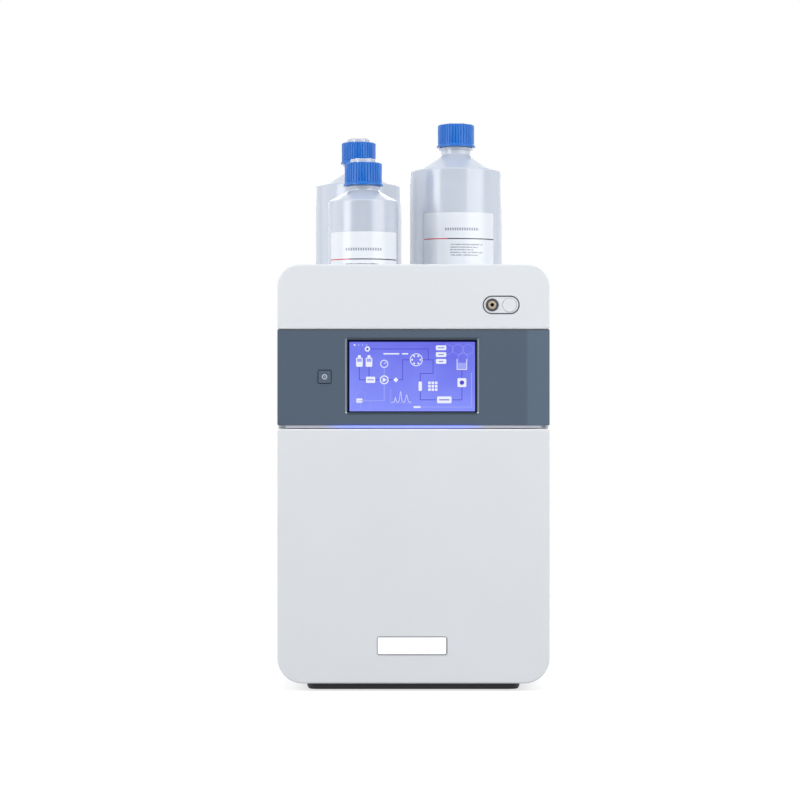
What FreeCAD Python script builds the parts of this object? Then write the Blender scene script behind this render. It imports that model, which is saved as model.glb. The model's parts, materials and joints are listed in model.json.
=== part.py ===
import FreeCAD, Part
import math
import os

# Bench-top ion chromatograph: a white cabinet with a display band, a hinged front door over the
# flow compartment, and a recessed top tray that carries three eluent bottles.
# Millimetres. +X is right, +Y is back and +Z is up. The origin is under the cabinet's middle.

V = FreeCAD.Vector
UP = V(0, 0, 1)
RIGHT = V(1, 0, 0)
BACK = V(0, 1, 0)
FRONT = V(0, -1, 0)

# Cabinet
cabinet_width = 340.0
cabinet_depth = 480.0
cabinet_top = 533.5
body_bottom = 10.2
top_radius = 27.5
bottom_radius = 32.0
cover_wall = 3.0
fit_gap = 0.3
running_gap = 0.05
sheet = 2.0
edge_round = 2.0
corner_ease = 0.5
weld = 1.0
hair = 1e-4

# Plinth and feet
plinth_inset = 36.0
plinth_setback = 20.0
plinth_corner = 15.0
plinth_edge = 5.0
foot_radius = 14.0
foot_height = 3.0
foot_edge = 1.0
foot_proud = 1.0
foot_inset_x = 65.0
foot_inset_y = 60.0

# Side covers
bottom_return_inset = 52.0
top_return_inset = 27.2
cover_rib = 2.0
cover_rib_width = 4.0
cover_rib_heights = (100.0, 200.0, 300.0, 400.0)
bottom_rib_inset = 40.0

# Front
door_depth = 22.0
door_wall = 3.0
door_gap = 4.6
reveal = 6.0
frame_depth = 8.0
opening_inset = 30.0
lower_opening_bottom = 30.0
lower_opening_drop = 15.8
upper_opening_rise = 12.6
upper_opening_drop = 28.5
opening_radius = 8.0
post_radius = 5.0
post_inset = 17.0
corner_post_inset = 23.0
fascia_post_low = 14.0
fascia_post_high = 18.0
band_post_edge = 13.0
door_post_low = 36.0
door_post_high = 16.0
door_rib = 2.0
door_rib_depth = 8.0
door_rib_pitch_x = 80.0
door_rib_pitch_z = 60.0

# Control band
band_height = 120.1
fascia_height = 81.0
band_setback = 0.6
band_corner = 1.5
band_edge = 1.0
light_height = 3.4
light_inset = 10.0
light_corner = 1.0
light_setback = 3.0
light_depth = 15.0

# Display
display_x = -1.75
display_rise = 1.45
bezel_width = 167.7
bezel_height = 94.8
bezel_side = 3.3
bezel_edge = 2.15
glass_gap = 0.2
glass_thick = 6.0
glass_setback = 1.0
glass_corner = 1.0
bezel_flange = 4.0
bezel_corner = 3.0
board_thick = 1.6
board_side = 11.65
board_edge = 7.6
board_post_inset_x = 3.5
board_post_inset_z = 5.0
board_post_radius = 3.0
# Chips on the back of the display's board: x and z from its middle, width, height and thickness
display_chips = ((-30.0, 0.0, 36.0, 36.0, 3.0), (40.0, 20.0, 24.0, 18.0, 5.0), (20.0, -34.0, 60.0, 8.0, 9.0))

# Push buttons
power_gap = 25.4
power_rise = 0.45
power_size = 16.8
power_corner = 2.8
power_groove = 2.0
button_edge = 0.8
groove_depth = 2.2
boss_wall = 1.5
power_boss_depth = 7.4
button_proud = 0.5
button_travel = 1.5
stem_radius = 3.0
switch_size = 22.0
switch_corner = 2.0
switch_depth = 12.0
switch_bore_depth = 8.5

# Injection port
port_x = 109.4
port_drop = 50.9
port_width = 46.2
port_height = 23.3
port_groove = 1.5
port_well_depth = 6.0
port_well_wall = 2.0
port_well_floor = 3.0
port_plate_setback = 0.4
port_edge = 0.6
needle_x = 98.2
needle_radius = 4.7
needle_edge = 0.6
needle_flange = 7.9
needle_flange_thick = 2.2
needle_bore = 1.9
needle_bore_depth = 14.0
needle_flare = 0.9
needle_flare_depth = 1.2
needle_channel = 0.8
needle_length = 42.0
front_proud = 2.5
inject_x = 119.9
inject_drop = 0.4
inject_radius = 8.7
inject_thick = 3.7
inject_edge = 0.9
inject_stem = 10.2

# Door furniture
plate_x = -1.7
plate_z = 57.2
plate_width = 87.0
plate_height = 22.6
plate_corner = 2.5
plate_thick = 1.0
plate_recess = 0.6
plate_chamfer = 0.3
hinge_inset = 2.2
hinge_ease = 0.1
hinge_height = 48.0
hinge_zs = (62.0, 232.0)
knuckle_radius = 2.2
knuckle_share = 16.0
knuckle_gap = 0.3
pin_radius = 1.0
leaf_thick = 1.0
leaf_reach = 16.0
gasket_width = 6.0
gasket_gap = 1.0
magnet_inset = 14.0
magnet_zs = (70.0, 262.0)
magnet_width = 12.0
magnet_height = 30.0
magnet_corner = 2.0

# Top tray
tray_depth = 40.0
tray_wall = 2.5
tray_floor = 3.0
tray_inset = 32.0
tray_front_inset = 40.0
tray_back_inset = 22.0
tray_radius = 12.0
tray_draft = 2.0
tray_flange = 3.0
tub_flange = 40.0

# Flow compartment
compartment_depth = 106.0
shelf_drop = 1.8
shelf_slot_width = 8.0
shelf_slot_length = 70.0
shelf_slot_inset = 26.7
shelf_slot_pitch = 20.0
shelf_slot_back = 33.0
shelf_slots = 3
drip_inset = 40.0
drip_gap = 2.0
drip_corner = 6.0
drip_height = 10.0
drip_wall = 2.0

# Eluent pump
pump_head_xs = (-120.0, -72.0)
pump_z = 95.0
head_radius = 20.0
head_length = 46.0
head_cap = 14.0
head_cap_length = 6.0
head_cone = 3.0
head_flat = 18.0
head_screw_place = 9.0
head_screw_radius = 2.5
head_screw_height = 2.5
valve_y = 26.0
valve_radius = 6.5
valve_length = 16.0
valve_body_length = 9.6
valve_cone = 1.6
manifold_height = 20.0
manifold_depth = 38.0
manifold_margin = 14.0
manifold_corner = 3.0
knob_radius = 11.0
knob_length = 16.0
knob_edge = 2.0
knob_skirt = 4.0
knob_flutes = 12
flute_radius = 2.4
flute_depth = 1.0
knob_stem = 3.0
knob_stem_length = 14.0
drive_width = 92.0
drive_height = 90.0
drive_depth = 126.0
drive_corner = 6.0
drive_rise = 6.0
drive_foot_inset = 8.0
drive_foot_back = 10.0
motor_radius = 28.0
motor_length = 48.0

# Peristaltic pump
roller_x = -96.0
roller_drop = 81.0
roller_plate_half = 42.0
roller_plate = 8.0
roller_plate_corner = 6.0
track_base = 12.0
track_inner = 27.0
track_outer = 36.0
track_depth = 32.0
rotor_disc = 22.0
rotor_disc_thick = 4.0
rotor_clear = 2.0
roller_count = 6
roller_radius = 4.0
roller_circle = 19.0
rotor_shaft = 5.0
shaft_end_gap = 1.0

# Injection valve
valve_x = 45.0
valve_drop = 81.0
valve_flange_half = 30.0
valve_flange = 4.0
valve_flange_corner = 5.0
stator_radius = 24.0
stator_length = 34.0
stator_ring = 5.0
stator_step = 4.0
stator_cone = 2.0
gearbox_half = 20.0
gearbox_depth = 66.0
rotor_radius = 15.0
rotor_thick = 6.0
rotor_place = 14.0
rotor_shaft_radius = 4.0
rotor_shaft_length = 28.0
pointer_radius = 1.5
pointer_reach = 5.0
pointer_turn = 30.0
rotor_window = 16.0
loop_radius = 26.0
loop_bundle = 1.8
loop_leg = 0.8
loop_bend = 4.0
loop_reach = 12.0
port_circle = 9.0
port_count = 6
port_nut_radius = 3.0
port_nut_length = 5.0

# Column
column_x = -10.0
column_bottom = 50.0
column_drop = 40.0
column_axis = 24.0
column_radius = 5.5
fitting_radius = 8.0
fitting_length = 22.0
nut_radius = 4.0
nut_length = 8.0
clip_zs = (100.0, 224.0)
clip_half = 10.0
clip_height = 12.0
clip_mouth = 9.0
clip_corner = 2.0

# Suppressor and detector
suppressor_x = 115.0
suppressor_z = 168.0
suppressor_radius = 27.0
suppressor_length = 42.0
suppressor_rim = 6.0
suppressor_waist = 2.0
suppressor_nose = 4.0
suppressor_nose_step = 5.0
suppressor_port_circle = 12.0
suppressor_ports = 3
detector_x = 112.0
detector_z = 78.0
detector_half_width = 33.0
detector_half_height = 32.0
detector_depth = 52.0
detector_corner = 5.0
detector_lid = 3.0
detector_lid_inset = 4.0
detector_port_x = 16.0

# Rear bay
supply_inset = 12.7
supply_width = 110.0
supply_depth = 112.0
supply_back_gap = 3.0
supply_height = 58.0
supply_rise = 9.0
supply_slot_width = 3.0
supply_slot_depth = 1.5
supply_slot_pitch = 8.0
supply_slot_margin = 15.0
supply_foot_radius = 4.0
supply_foot_inset = 12.0
main_board_inset_x = 42.7
main_board_inset_y = 54.0
main_board_width = 160.0
main_board_depth = 270.0
# Components on the main board: x and y from its left front corner, width, depth and height
main_chips = ((20.0, 90.0, 42.0, 42.0, 12.0), (84.0, 60.0, 20.0, 100.0, 4.0), (134.0, 30.0, 20.0, 220.0, 9.0))
can_x = 24.0
can_y = 210.0
can_pitch = 16.0
can_count = 4
can_radius = 6.0
can_height = 18.0
standoff_height = 6.0
standoff_inset = 8.0
standoff_radius = 3.0

# Rear panel
rear_recess = 5.0
rear_proud = 2.5
fan_x = 90.0
fan_drop = 123.5
fan_size = 80.0
fan_depth = 25.0
fan_corner = 5.0
fan_hole = 36.0
fan_bore = 36.5
fan_hub = 15.0
hub_edge = 2.0
hub_gap = 3.5
strut_thick = 3.0
strut_width = 4.0
strut_count = 3
strut_turn = 30.0
fan_pin_end = 8.0
fan_blades = 7
blade_tip = 34.5
blade_thick = 2.0
blade_chord = 14.0
blade_pitch = 38.0
fan_shaft = 2.0
guard_rings = (12.0, 22.0, 32.0)
guard_reach = 40.0
guard_wire = 1.1
guard_spoke = 1.3
guard_bend = 3.0
guard_turn = 45.0
vent_x0 = 30.0
vent_z0 = 60.0
vent_length = 44.0
vent_width = 4.0
vent_pitch_x = 54.0
vent_pitch_z = 11.0
vent_columns = 2
vent_rows = 10

# Power entry and data ports
entry_x = -105.0
entry_z = 76.0
entry_width = 30.0
entry_height = 58.0
entry_depth = 30.0
entry_flange = 4.0
entry_flange_thick = 2.5
entry_corner = 2.0
entry_flange_corner = 4.0
entry_chamfer = 0.8
inlet_drop = 14.0
inlet_width = 24.0
inlet_height = 16.5
inlet_depth = 19.0
inlet_key = 4.0
blade_pin_length = 12.0
blade_pin_width = 2.0
blade_pin_height = 4.0
blade_pin_pitch = 7.0
blade_pin_rise = 2.0
rocker_rise = 13.5
rocker_width = 13.0
rocker_height = 22.0
rocker_depth = 8.0
rocker_dip = 2.0
rocker_well_depth = 13.0
rocker_well_margin = 1.2
rocker_tilt = 7.0
rocker_pin = 1.2
rocker_pin_length = 1.6
ports_x = -20.0
ports_z = 60.0
ports_width = 58.0
ports_height = 18.0
ports_depth = 24.0
ports_proud = 1.0
ports_flange = 3.0
ports_margin = 4.0
network_width = 12.0
network_height = 9.0
network_depth = 14.0
serial_width = 13.0
serial_height = 5.4
serial_depth = 12.0
serial_tongue = 1.8
serial_tongue_side = 1.0
serial_tongue_rise = 0.8

# Bottles: each height is taken from the tray's floor
large_radius = 60.5
large_shoulder = 170.8
large_neck_foot = 193.0
large_cap_bottom = 203.0
large_cap_top = 232.5
small_radius = 45.0
small_shoulder = 124.6
small_neck_foot = 138.6
small_cap_bottom = 145.3
small_cap_top = 174.5
bottle_right_x = 57.0
bottle_right_inset = 130.0
bottle_rear_x = -75.0
bottle_rear_inset = 67.0
bottle_front_x = -64.0
bottle_front_inset = 50.0
bottle_wall = 1.8
shoulder_bend = 6.0
heel_bend = 5.0
heel_ring = 18.0
heel_rise = 1.5
neck_radius = 19.75
neck_bore = 16.5
bead_radius = 22.5
bead_height = 3.0
bead_gap = 0.8
bead_chamfer = 1.0
thread_rise = 2.0
thread_lead = 1.0
thread_radius = 21.0
cap_radius = 24.0
cap_flare = 25.75
cap_flare_height = 3.5
cap_plate = 2.5
cap_chamfer = 1.0
cap_lip = 0.8
cap_lip_step = 0.4
cap_groove = 0.8
cap_grooves = 40
insert_radius = 16.5
insert_flange = 20.0
insert_flange_thick = 2.0
insert_plug = 6.0
insert_edge = 1.0
insert_ports = 3
insert_port_circle = 9.0
insert_port_radius = 2.8
insert_port_rise = 1.2
insert_right_proud = 2.5
insert_rear_proud = 6.5
insert_front_proud = 6.0
label_thick = 0.4
label_gap = 0.1
label_bottom = 10.0
label_right_top = 112.5
label_right_half = 48.6
label_front_top = 83.0
label_front_half = 69.0

# Places that follow from the sizes above
half_width = cabinet_width / 2
front_y = -cabinet_depth / 2
back_y = cabinet_depth / 2
door_back = front_y + door_depth
cover_front = door_back + reveal
frame_back = cover_front + frame_depth
band_top = cabinet_top - fascia_height
band_bottom = band_top - band_height
band_middle = (band_bottom + band_top) / 2
door_top = band_bottom - door_gap
lower_opening_top = door_top - lower_opening_drop
upper_opening_bottom = band_bottom + upper_opening_rise
upper_opening_top = cabinet_top - upper_opening_drop
display_z = band_middle + display_rise
power_x = display_x - bezel_width / 2 - power_gap
power_z = band_middle + power_rise
port_z = cabinet_top - port_drop
inject_z = port_z - inject_drop
tray_floor_top = cabinet_top - tray_depth
shelf_bottom = door_top - shelf_drop
fan_z = cabinet_top - fan_drop
roller_z = shelf_bottom - roller_drop
valve_z = shelf_bottom - valve_drop
column_top = shelf_bottom - column_drop
large_bottle = dict(radius=large_radius, shoulder=large_shoulder, neck_foot=large_neck_foot,
                    cap_bottom=large_cap_bottom, cap_top=large_cap_top)
small_bottle = dict(radius=small_radius, shoulder=small_shoulder, neck_foot=small_neck_foot,
                    cap_bottom=small_cap_bottom, cap_top=small_cap_top)
plinth_width = cabinet_width - 2 * plinth_inset
foot_x = half_width - foot_inset_x
foot_y = back_y - foot_inset_y
bottom_return = half_width - bottom_return_inset
top_return = half_width - top_return_inset
bottom_rib_x = half_width - bottom_rib_inset
opening_half = half_width - opening_inset
post_x = half_width - post_inset
corner_post_x = half_width - corner_post_inset
light_half = half_width - light_inset
magnet_x = half_width - magnet_inset
tray_half = half_width - tray_inset
tray_front = front_y + tray_front_inset
tray_back = back_y - tray_back_inset
drip_half = half_width - drip_inset
bottle_right_place = (bottle_right_x, tray_front + bottle_right_inset)
bottle_rear_place = (bottle_rear_x, tray_back - bottle_rear_inset)
bottle_front_place = (bottle_front_x, tray_front + bottle_front_inset)
glass_width = bezel_width - 2 * bezel_side
glass_height = bezel_height - 2 * bezel_edge
board_half_width = bezel_width / 2 + board_side
board_half_height = bezel_height / 2 + board_edge
panel_outer = back_y - rear_recess
panel_inner = panel_outer - sheet
tub_half = half_width - cover_wall - cover_rib
tub_bottom = body_bottom + cover_wall + cover_rib
pan_top = tub_bottom + sheet
bay_half = tub_half - sheet - fit_gap
supply_x0 = -bay_half + supply_inset
supply_x1 = supply_x0 + supply_width
supply_y1 = panel_inner - entry_depth - supply_back_gap
supply_y0 = supply_y1 - supply_depth
main_board_x0 = -bay_half + main_board_inset_x
main_board_x1 = main_board_x0 + main_board_width
main_board_y0 = frame_back + main_board_inset_y
main_board_y1 = main_board_y0 + main_board_depth
tray_under = tray_floor_top - tray_floor
shelf_top = shelf_bottom + sheet
bulkhead_face = frame_back + compartment_depth
bulkhead_back = bulkhead_face + sheet
hinge_x = -(half_width - hinge_inset)
hinge_y = (door_back + cover_front) / 2
band_front = front_y + band_setback
band_wall_back = band_front + door_wall
board_front = front_y + glass_setback + band_setback + glass_thick
port_floor_front = front_y + port_well_depth
port_floor_back = port_floor_front + port_well_floor
plate_front = front_y + port_plate_setback
power_boss_back = band_wall_back + power_boss_depth


def box(x0, x1, y0, y1, z0, z1):
    return Part.makeBox(x1 - x0, y1 - y0, z1 - z0, V(x0, y0, z0))


def centred_box(x, z, width, height, y0, y1):
    return box(x - width / 2, x + width / 2, y0, y1, z - height / 2, z + height / 2)


def rod(point, axis, radius, length):
    return Part.makeCylinder(radius, length, point, axis)


def join(shapes):
    first, *rest = shapes
    return first.fuse(rest).removeSplitter() if rest else first


def rounded_wire(u0, u1, v0, v1, radii, place):
    """Rectangle with its own radius at each corner: lower left, lower right, upper right, upper left."""
    a, b, c, d = radii
    k = 1 - math.sqrt(0.5)
    runs = [((u0 + a, v0), (u1 - b, v0)), ((u1, v0 + b), (u1, v1 - c)),
            ((u1 - c, v1), (u0 + d, v1)), ((u0, v1 - d), (u0, v0 + a))]
    bends = [(b, (u1 - b * k, v0 + b * k)), (c, (u1 - c * k, v1 - c * k)),
             (d, (u0 + d * k, v1 - d * k)), (a, (u0 + a * k, v0 + a * k))]
    edges = []
    for number, ((start, end), (radius, middle)) in enumerate(zip(runs, bends)):
        if math.dist(start, end) > hair:
            edges.append(Part.LineSegment(place(*start), place(*end)).toShape())
        if radius > 0:
            following = runs[(number + 1) % 4][0]
            edges.append(Part.Arc(place(*end), place(*middle), place(*following)).toShape())
    return Part.Wire(edges)


def upright_slab(x0, x1, z0, z1, radii, y0, y1):
    wire = rounded_wire(x0, x1, z0, z1, radii, lambda u, v: V(u, y0, v))
    return Part.Face(wire).extrude(V(0, y1 - y0, 0))


def flat_slab(x0, x1, y0, y1, radius, z0, z1):
    wire = rounded_wire(x0, x1, y0, y1, (radius,) * 4, lambda u, v: V(u, v, z0))
    return Part.Face(wire).extrude(V(0, 0, z1 - z0))


def centred_slab(x, z, width, height, radius, y0, y1):
    return upright_slab(x - width / 2, x + width / 2, z - height / 2, z + height / 2,
                        (radius,) * 4, y0, y1)


def turned(steps, at, facing=UP):
    """Solid of revolution: each step is a (radius, height) point, or a pair of points for an arc."""
    to_point = lambda step: V(step[0], 0, step[1])
    here = steps[0]
    edges = []
    for step in steps[1:] + [steps[0]]:
        if isinstance(step[0], tuple):
            middle, step = step
            edges.append(Part.Arc(to_point(here), to_point(middle), to_point(step)).toShape())
        else:
            edges.append(Part.LineSegment(to_point(here), to_point(step)).toShape())
        here = step
    solid = Part.Face(Part.Wire(edges)).revolve(V(0, 0, 0), UP, 360)
    solid.Placement = FreeCAD.Placement(at, FreeCAD.Rotation(UP, facing))
    return solid


def tangent_arc(before, corner, after, bend):
    """Start, middle and end of the arc that rounds a corner between two straight runs."""
    into = (corner - before).normalize()
    out = (after - corner).normalize()
    half_turn = into.getAngle(out) / 2
    trim = bend * math.tan(half_turn)
    middle = corner + (out - into).normalize() * (bend / math.cos(half_turn) - bend)
    return corner - into * trim, middle, corner + out * trim


def profile_corner(before, corner, after, bend):
    """The tangent arc at a profile's corner, as two of the steps that turned() takes."""
    points = [V(r, 0, z) for r, z in (before, corner, after)]
    start, middle, end = [(p.x, p.z) for p in tangent_arc(*points, bend)]
    return [start, (middle, end)]


def around(number, count, start=0):
    """Unit vector to one of count evenly spaced places round an axis that runs front to back."""
    angle = math.radians(start + 360 * number / count)
    return V(math.cos(angle), 0, math.sin(angle))


def edges_at_y(shape, y):
    """The edges that lie wholly in the upright plane at y."""
    return [e for e in shape.Edges if max(abs(e.BoundBox.YMin - y), abs(e.BoundBox.YMax - y)) < hair]


def export(name, shapes):
    shape = Part.makeCompound(shapes) if isinstance(shapes, list) else shapes
    shape.exportStep("parts/" + name + ".step")


def shell_outline(inset, y0, y1):
    """The cabinet's outline, moved inwards by inset and run from y0 to y1."""
    lower = bottom_radius - inset
    upper = top_radius - inset
    return upright_slab(-half_width + inset, half_width - inset, body_bottom + inset,
                        cabinet_top - inset, (lower, lower, upper, upper), y0, y1)


# Base
def foot_points():
    return [(x, y) for x in (-foot_x, foot_x) for y in (-foot_y, foot_y)]


def rubber_feet():
    steps = [(0, 0), (foot_radius - foot_edge, 0), (foot_radius, foot_edge), (foot_radius, foot_height),
             (0, foot_height)]
    return [turned(steps, V(x, y, 0)) for x, y in foot_points()]


def base_plinth():
    half = plinth_width / 2
    y1 = back_y - plinth_setback
    plan = flat_slab(-half, half, -y1, y1, plinth_corner, foot_proud, body_bottom)
    end = upright_slab(-half, half, foot_proud, body_bottom, (plinth_edge, plinth_edge, 0, 0), -y1, y1)
    plinth = plan.common(end)
    seat = foot_height - foot_proud
    wells = [rod(V(x, y, foot_proud), UP, foot_radius + fit_gap, seat) for x, y in foot_points()]
    return plinth.cut(wells)


# Chassis and covers
def chassis_tub():
    tub = shell_outline(cover_wall + cover_rib, frame_back, panel_inner)
    tub = tub.cut(shell_outline(cover_wall + cover_rib + sheet, frame_back, panel_inner))
    tub = tub.cut(box(-half_width, half_width, frame_back, panel_inner, tray_under, cabinet_top))
    flanges = [box(x0, x0 + tub_flange, frame_back, panel_inner, tray_under - sheet, tray_under)
               for x0 in (-tub_half, tub_half - tub_flange)]
    return join([tub] + flanges)


def side_cover(side):
    """Folded cover with ribs inside; its ring is cut where the tray and the plinth come through."""
    ring = shell_outline(0, cover_front, back_y).cut(shell_outline(cover_wall, cover_front, back_y))
    middle = (body_bottom + cabinet_top) / 2
    beyond = -side * (half_width + weld)
    ring = ring.cut(box(*sorted((beyond, side * top_return)), cover_front, back_y, middle, cabinet_top))
    ring = ring.cut(box(*sorted((beyond, side * bottom_return)), cover_front, back_y, body_bottom, middle))
    wall = half_width - cover_wall
    x0, x1 = sorted((side * wall, side * (wall - cover_rib)))
    half = cover_rib_width / 2
    ribs = [box(x0, x1, frame_back, panel_inner, z - half, z + half) for z in cover_rib_heights]
    low = body_bottom + cover_wall
    x0 = side * bottom_rib_x
    ribs.append(box(x0 - half, x0 + half, frame_back, panel_inner, low, low + cover_rib))
    return join([ring] + ribs)


def front_frame():
    """Flat frame round the door's opening and the opening behind the fixed panels."""
    frame = shell_outline(cover_wall + fit_gap, cover_front, frame_back)
    radii = (opening_radius,) * 4
    for z0, z1 in ((lower_opening_bottom, lower_opening_top), (upper_opening_bottom, upper_opening_top)):
        frame = frame.cut(upright_slab(-opening_half, opening_half, z0, z1, radii, cover_front, frame_back))
    return frame


# Fixed front panels
def mounting_posts(points, y0):
    return [rod(V(x, y0, z), BACK, post_radius, cover_front - y0) for x, z in points]


def front_shell(z0, z1, radii, y0, depth_back, wall, roundness):
    """Moulded panel: a full-width front wall with side returns, open at the back."""
    outer = upright_slab(-half_width, half_width, z0, z1, radii, y0, depth_back)
    outer = outer.makeFillet(roundness, edges_at_y(outer, y0))
    inner_radii = tuple(max(r - wall, corner_ease) for r in radii)
    inner = upright_slab(-half_width + wall, half_width - wall, z0 + wall, z1 - wall, inner_radii,
                         y0 + wall, depth_back)
    return outer.cut(inner)


def stadium(x, z, width, height, y0, y1):
    return centred_slab(x, z, width, height, height / 2 - hair, y0, y1)


def upper_fascia():
    low_round = edge_round + corner_ease
    fascia = front_shell(band_top, cabinet_top, (low_round, low_round, top_radius, top_radius),
                         front_y, door_back, door_wall, edge_round)
    post_front = front_y + door_wall - weld
    low = band_top + fascia_post_low
    high = cabinet_top - fascia_post_high
    points = [(-post_x, low), (post_x, low), (-corner_post_x, high), (corner_post_x, high)]
    rim = 2 * port_well_wall
    well = stadium(port_x, port_z, port_width + rim, port_height + rim, post_front, port_floor_back)
    fascia = join([fascia, well] + mounting_posts(points, post_front))
    fascia = fascia.cut(stadium(port_x, port_z, port_width, port_height, front_y, port_floor_front))
    fascia = fascia.cut(rod(V(needle_x, front_y, port_z), BACK, needle_radius + fit_gap, door_depth))
    return fascia.cut(rod(V(inject_x, front_y, inject_z), BACK, stem_radius + fit_gap, door_depth))


def control_band():
    """Panel with the display's window, posts for its board and a boss that guides the power button."""
    band = front_shell(band_bottom, band_top - fit_gap, (band_corner,) * 4, band_front, door_back,
                       door_wall, band_edge)
    post_front = band_wall_back - weld
    heights = (band_bottom + band_post_edge, band_top - band_post_edge)
    points = [(x, z) for x in (-post_x, post_x) for z in heights]
    post_across = board_half_width - board_post_inset_x
    post_up = board_half_height - board_post_inset_z
    pads = [rod(V(display_x + x, post_front, display_z + z), BACK, board_post_radius,
                board_front - post_front) for x in (-post_across, post_across) for z in (-post_up, post_up)]
    boss_size = power_size + 2 * (power_groove + boss_wall)
    groove_corner = power_corner + power_groove
    boss = centred_slab(power_x, power_z, boss_size, boss_size, groove_corner, post_front, power_boss_back)
    band = join([band, boss] + pads + mounting_posts(points, post_front))
    groove = power_size + 2 * power_groove
    band = band.cut(centred_slab(power_x, power_z, groove, groove, groove_corner, band_front,
                                 band_front + groove_depth))
    bore = power_size + 2 * fit_gap
    band = band.cut(centred_slab(power_x, power_z, bore, bore, power_corner + fit_gap, band_front,
                                 power_boss_back))
    return band.cut(centred_slab(display_x, display_z, bezel_width + 2 * fit_gap, bezel_height + 2 * fit_gap,
                                 bezel_corner + fit_gap, band_front, band_wall_back))


def light_strip():
    y0 = front_y + light_setback
    return upright_slab(-light_half, light_half, band_bottom - light_height, band_bottom,
                        (light_corner, light_corner, 0, 0), y0, y0 + light_depth)


def display_bezel():
    rim = centred_slab(display_x, display_z, bezel_width, bezel_height, bezel_corner,
                       band_front - fit_gap, band_wall_back)
    margin = 2 * bezel_flange
    flange = centred_slab(display_x, display_z, bezel_width + margin, bezel_height + margin,
                          bezel_corner + bezel_flange, band_wall_back, band_wall_back + sheet)
    hole = centred_box(display_x, display_z, glass_width + 2 * glass_gap, glass_height + 2 * glass_gap,
                       front_y, door_back)
    return join([rim, flange]).cut(hole)


def display_glass():
    return centred_slab(display_x, display_z, glass_width, glass_height, glass_corner,
                        board_front - glass_thick, board_front)


def circuit_boards():
    """The display's controller board and the main board, with their larger components."""
    back = board_front + board_thick
    card = centred_box(display_x, display_z, 2 * board_half_width, 2 * board_half_height, board_front, back)
    chips = [centred_box(display_x + x, display_z + z, width, height, back, back + thick)
             for x, z, width, height, thick in display_chips]
    z0 = shelf_top + standoff_height
    z1 = z0 + board_thick
    left = main_board_x0
    front = main_board_y0
    plate = box(left, main_board_x1, front, main_board_y1, z0, z1)
    pillars = [rod(V(x, y, shelf_top), UP, standoff_radius, standoff_height)
               for x in (left + standoff_inset, main_board_x1 - standoff_inset)
               for y in (front + standoff_inset, main_board_y1 - standoff_inset)]
    blocks = [box(left + x, left + x + width, front + y, front + y + depth, z1, z1 + height)
              for x, y, width, depth, height in main_chips]
    cans = [rod(V(left + can_x + can_pitch * n, front + can_y, z1), UP, can_radius, can_height)
            for n in range(can_count)]
    return [join([card] + chips), join([plate] + pillars + blocks + cans)]


def button_switches():
    """One switch block behind each push button, with a bore for the button's stem."""
    blocks = []
    for x, z, y0 in ((power_x, power_z, power_boss_back), (inject_x, inject_z, port_floor_back)):
        block = centred_slab(x, z, switch_size, switch_size, switch_corner, y0, y0 + switch_depth)
        blocks.append(block.cut(rod(V(x, y0, z), BACK, stem_radius + fit_gap, switch_bore_depth)))
    return blocks


def power_button():
    head_back = power_boss_back - button_travel - 2 * fit_gap
    front = band_front - button_proud
    head = centred_slab(power_x, power_z, power_size, power_size, power_corner, front, head_back)
    head = head.makeFillet(button_edge, edges_at_y(head, front))
    reach = switch_bore_depth - button_travel - 2 * fit_gap
    stem_end = power_boss_back + reach
    return join([head, rod(V(power_x, head_back, power_z), BACK, stem_radius, stem_end - head_back)])


def port_plate():
    """Stadium plate seated in the upper panel's well, bored for the needle port and the button."""
    width = port_width - 2 * port_groove
    height = port_height - 2 * port_groove
    plate = stadium(port_x, port_z, width, height, plate_front, port_floor_front)
    plate = plate.makeFillet(port_edge, edges_at_y(plate, plate_front))
    needle = V(needle_x, plate_front, port_z)
    button = V(inject_x, plate_front, inject_z)
    plate = plate.cut(rod(needle, BACK, needle_flange + fit_gap, needle_flange_thick))
    plate = plate.cut(rod(needle, BACK, needle_radius + fit_gap, port_well_depth))
    return plate.cut(rod(button, BACK, inject_radius + fit_gap, port_well_depth))


def needle_port():
    """Luer-style port: flange in the plate's counterbore, tapered mouth, bore and narrow channel."""
    nose = front_proud + port_plate_setback
    end = needle_length
    flange_back = nose + needle_flange_thick
    outer = [(0, 0), (needle_radius - needle_edge, 0), (needle_radius, needle_edge), (needle_radius, nose),
             (needle_flange, nose), (needle_flange, flange_back), (needle_radius, flange_back),
             (needle_radius, end), (0, end)]
    at = V(needle_x, front_y - front_proud, port_z)
    cone_end = needle_bore_depth + needle_bore - needle_channel
    bore = [(0, 0), (needle_bore + needle_flare, 0), (needle_bore, needle_flare_depth),
            (needle_bore, needle_bore_depth), (needle_channel, cone_end), (needle_channel, end), (0, end)]
    return turned(outer, at, BACK).cut(turned(bore, at, BACK))


def inject_button():
    """Round push button with an eased rim, on a stem that reaches its switch."""
    corner = profile_corner((0, 0), (inject_radius, 0), (inject_radius, inject_thick), inject_edge)
    stem_end = inject_thick + inject_stem
    steps = [(0, 0)] + corner + [(inject_radius, inject_thick), (stem_radius, inject_thick),
                                 (stem_radius, stem_end), (0, stem_end)]
    return turned(steps, V(inject_x, plate_front - fit_gap, inject_z), BACK)


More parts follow.
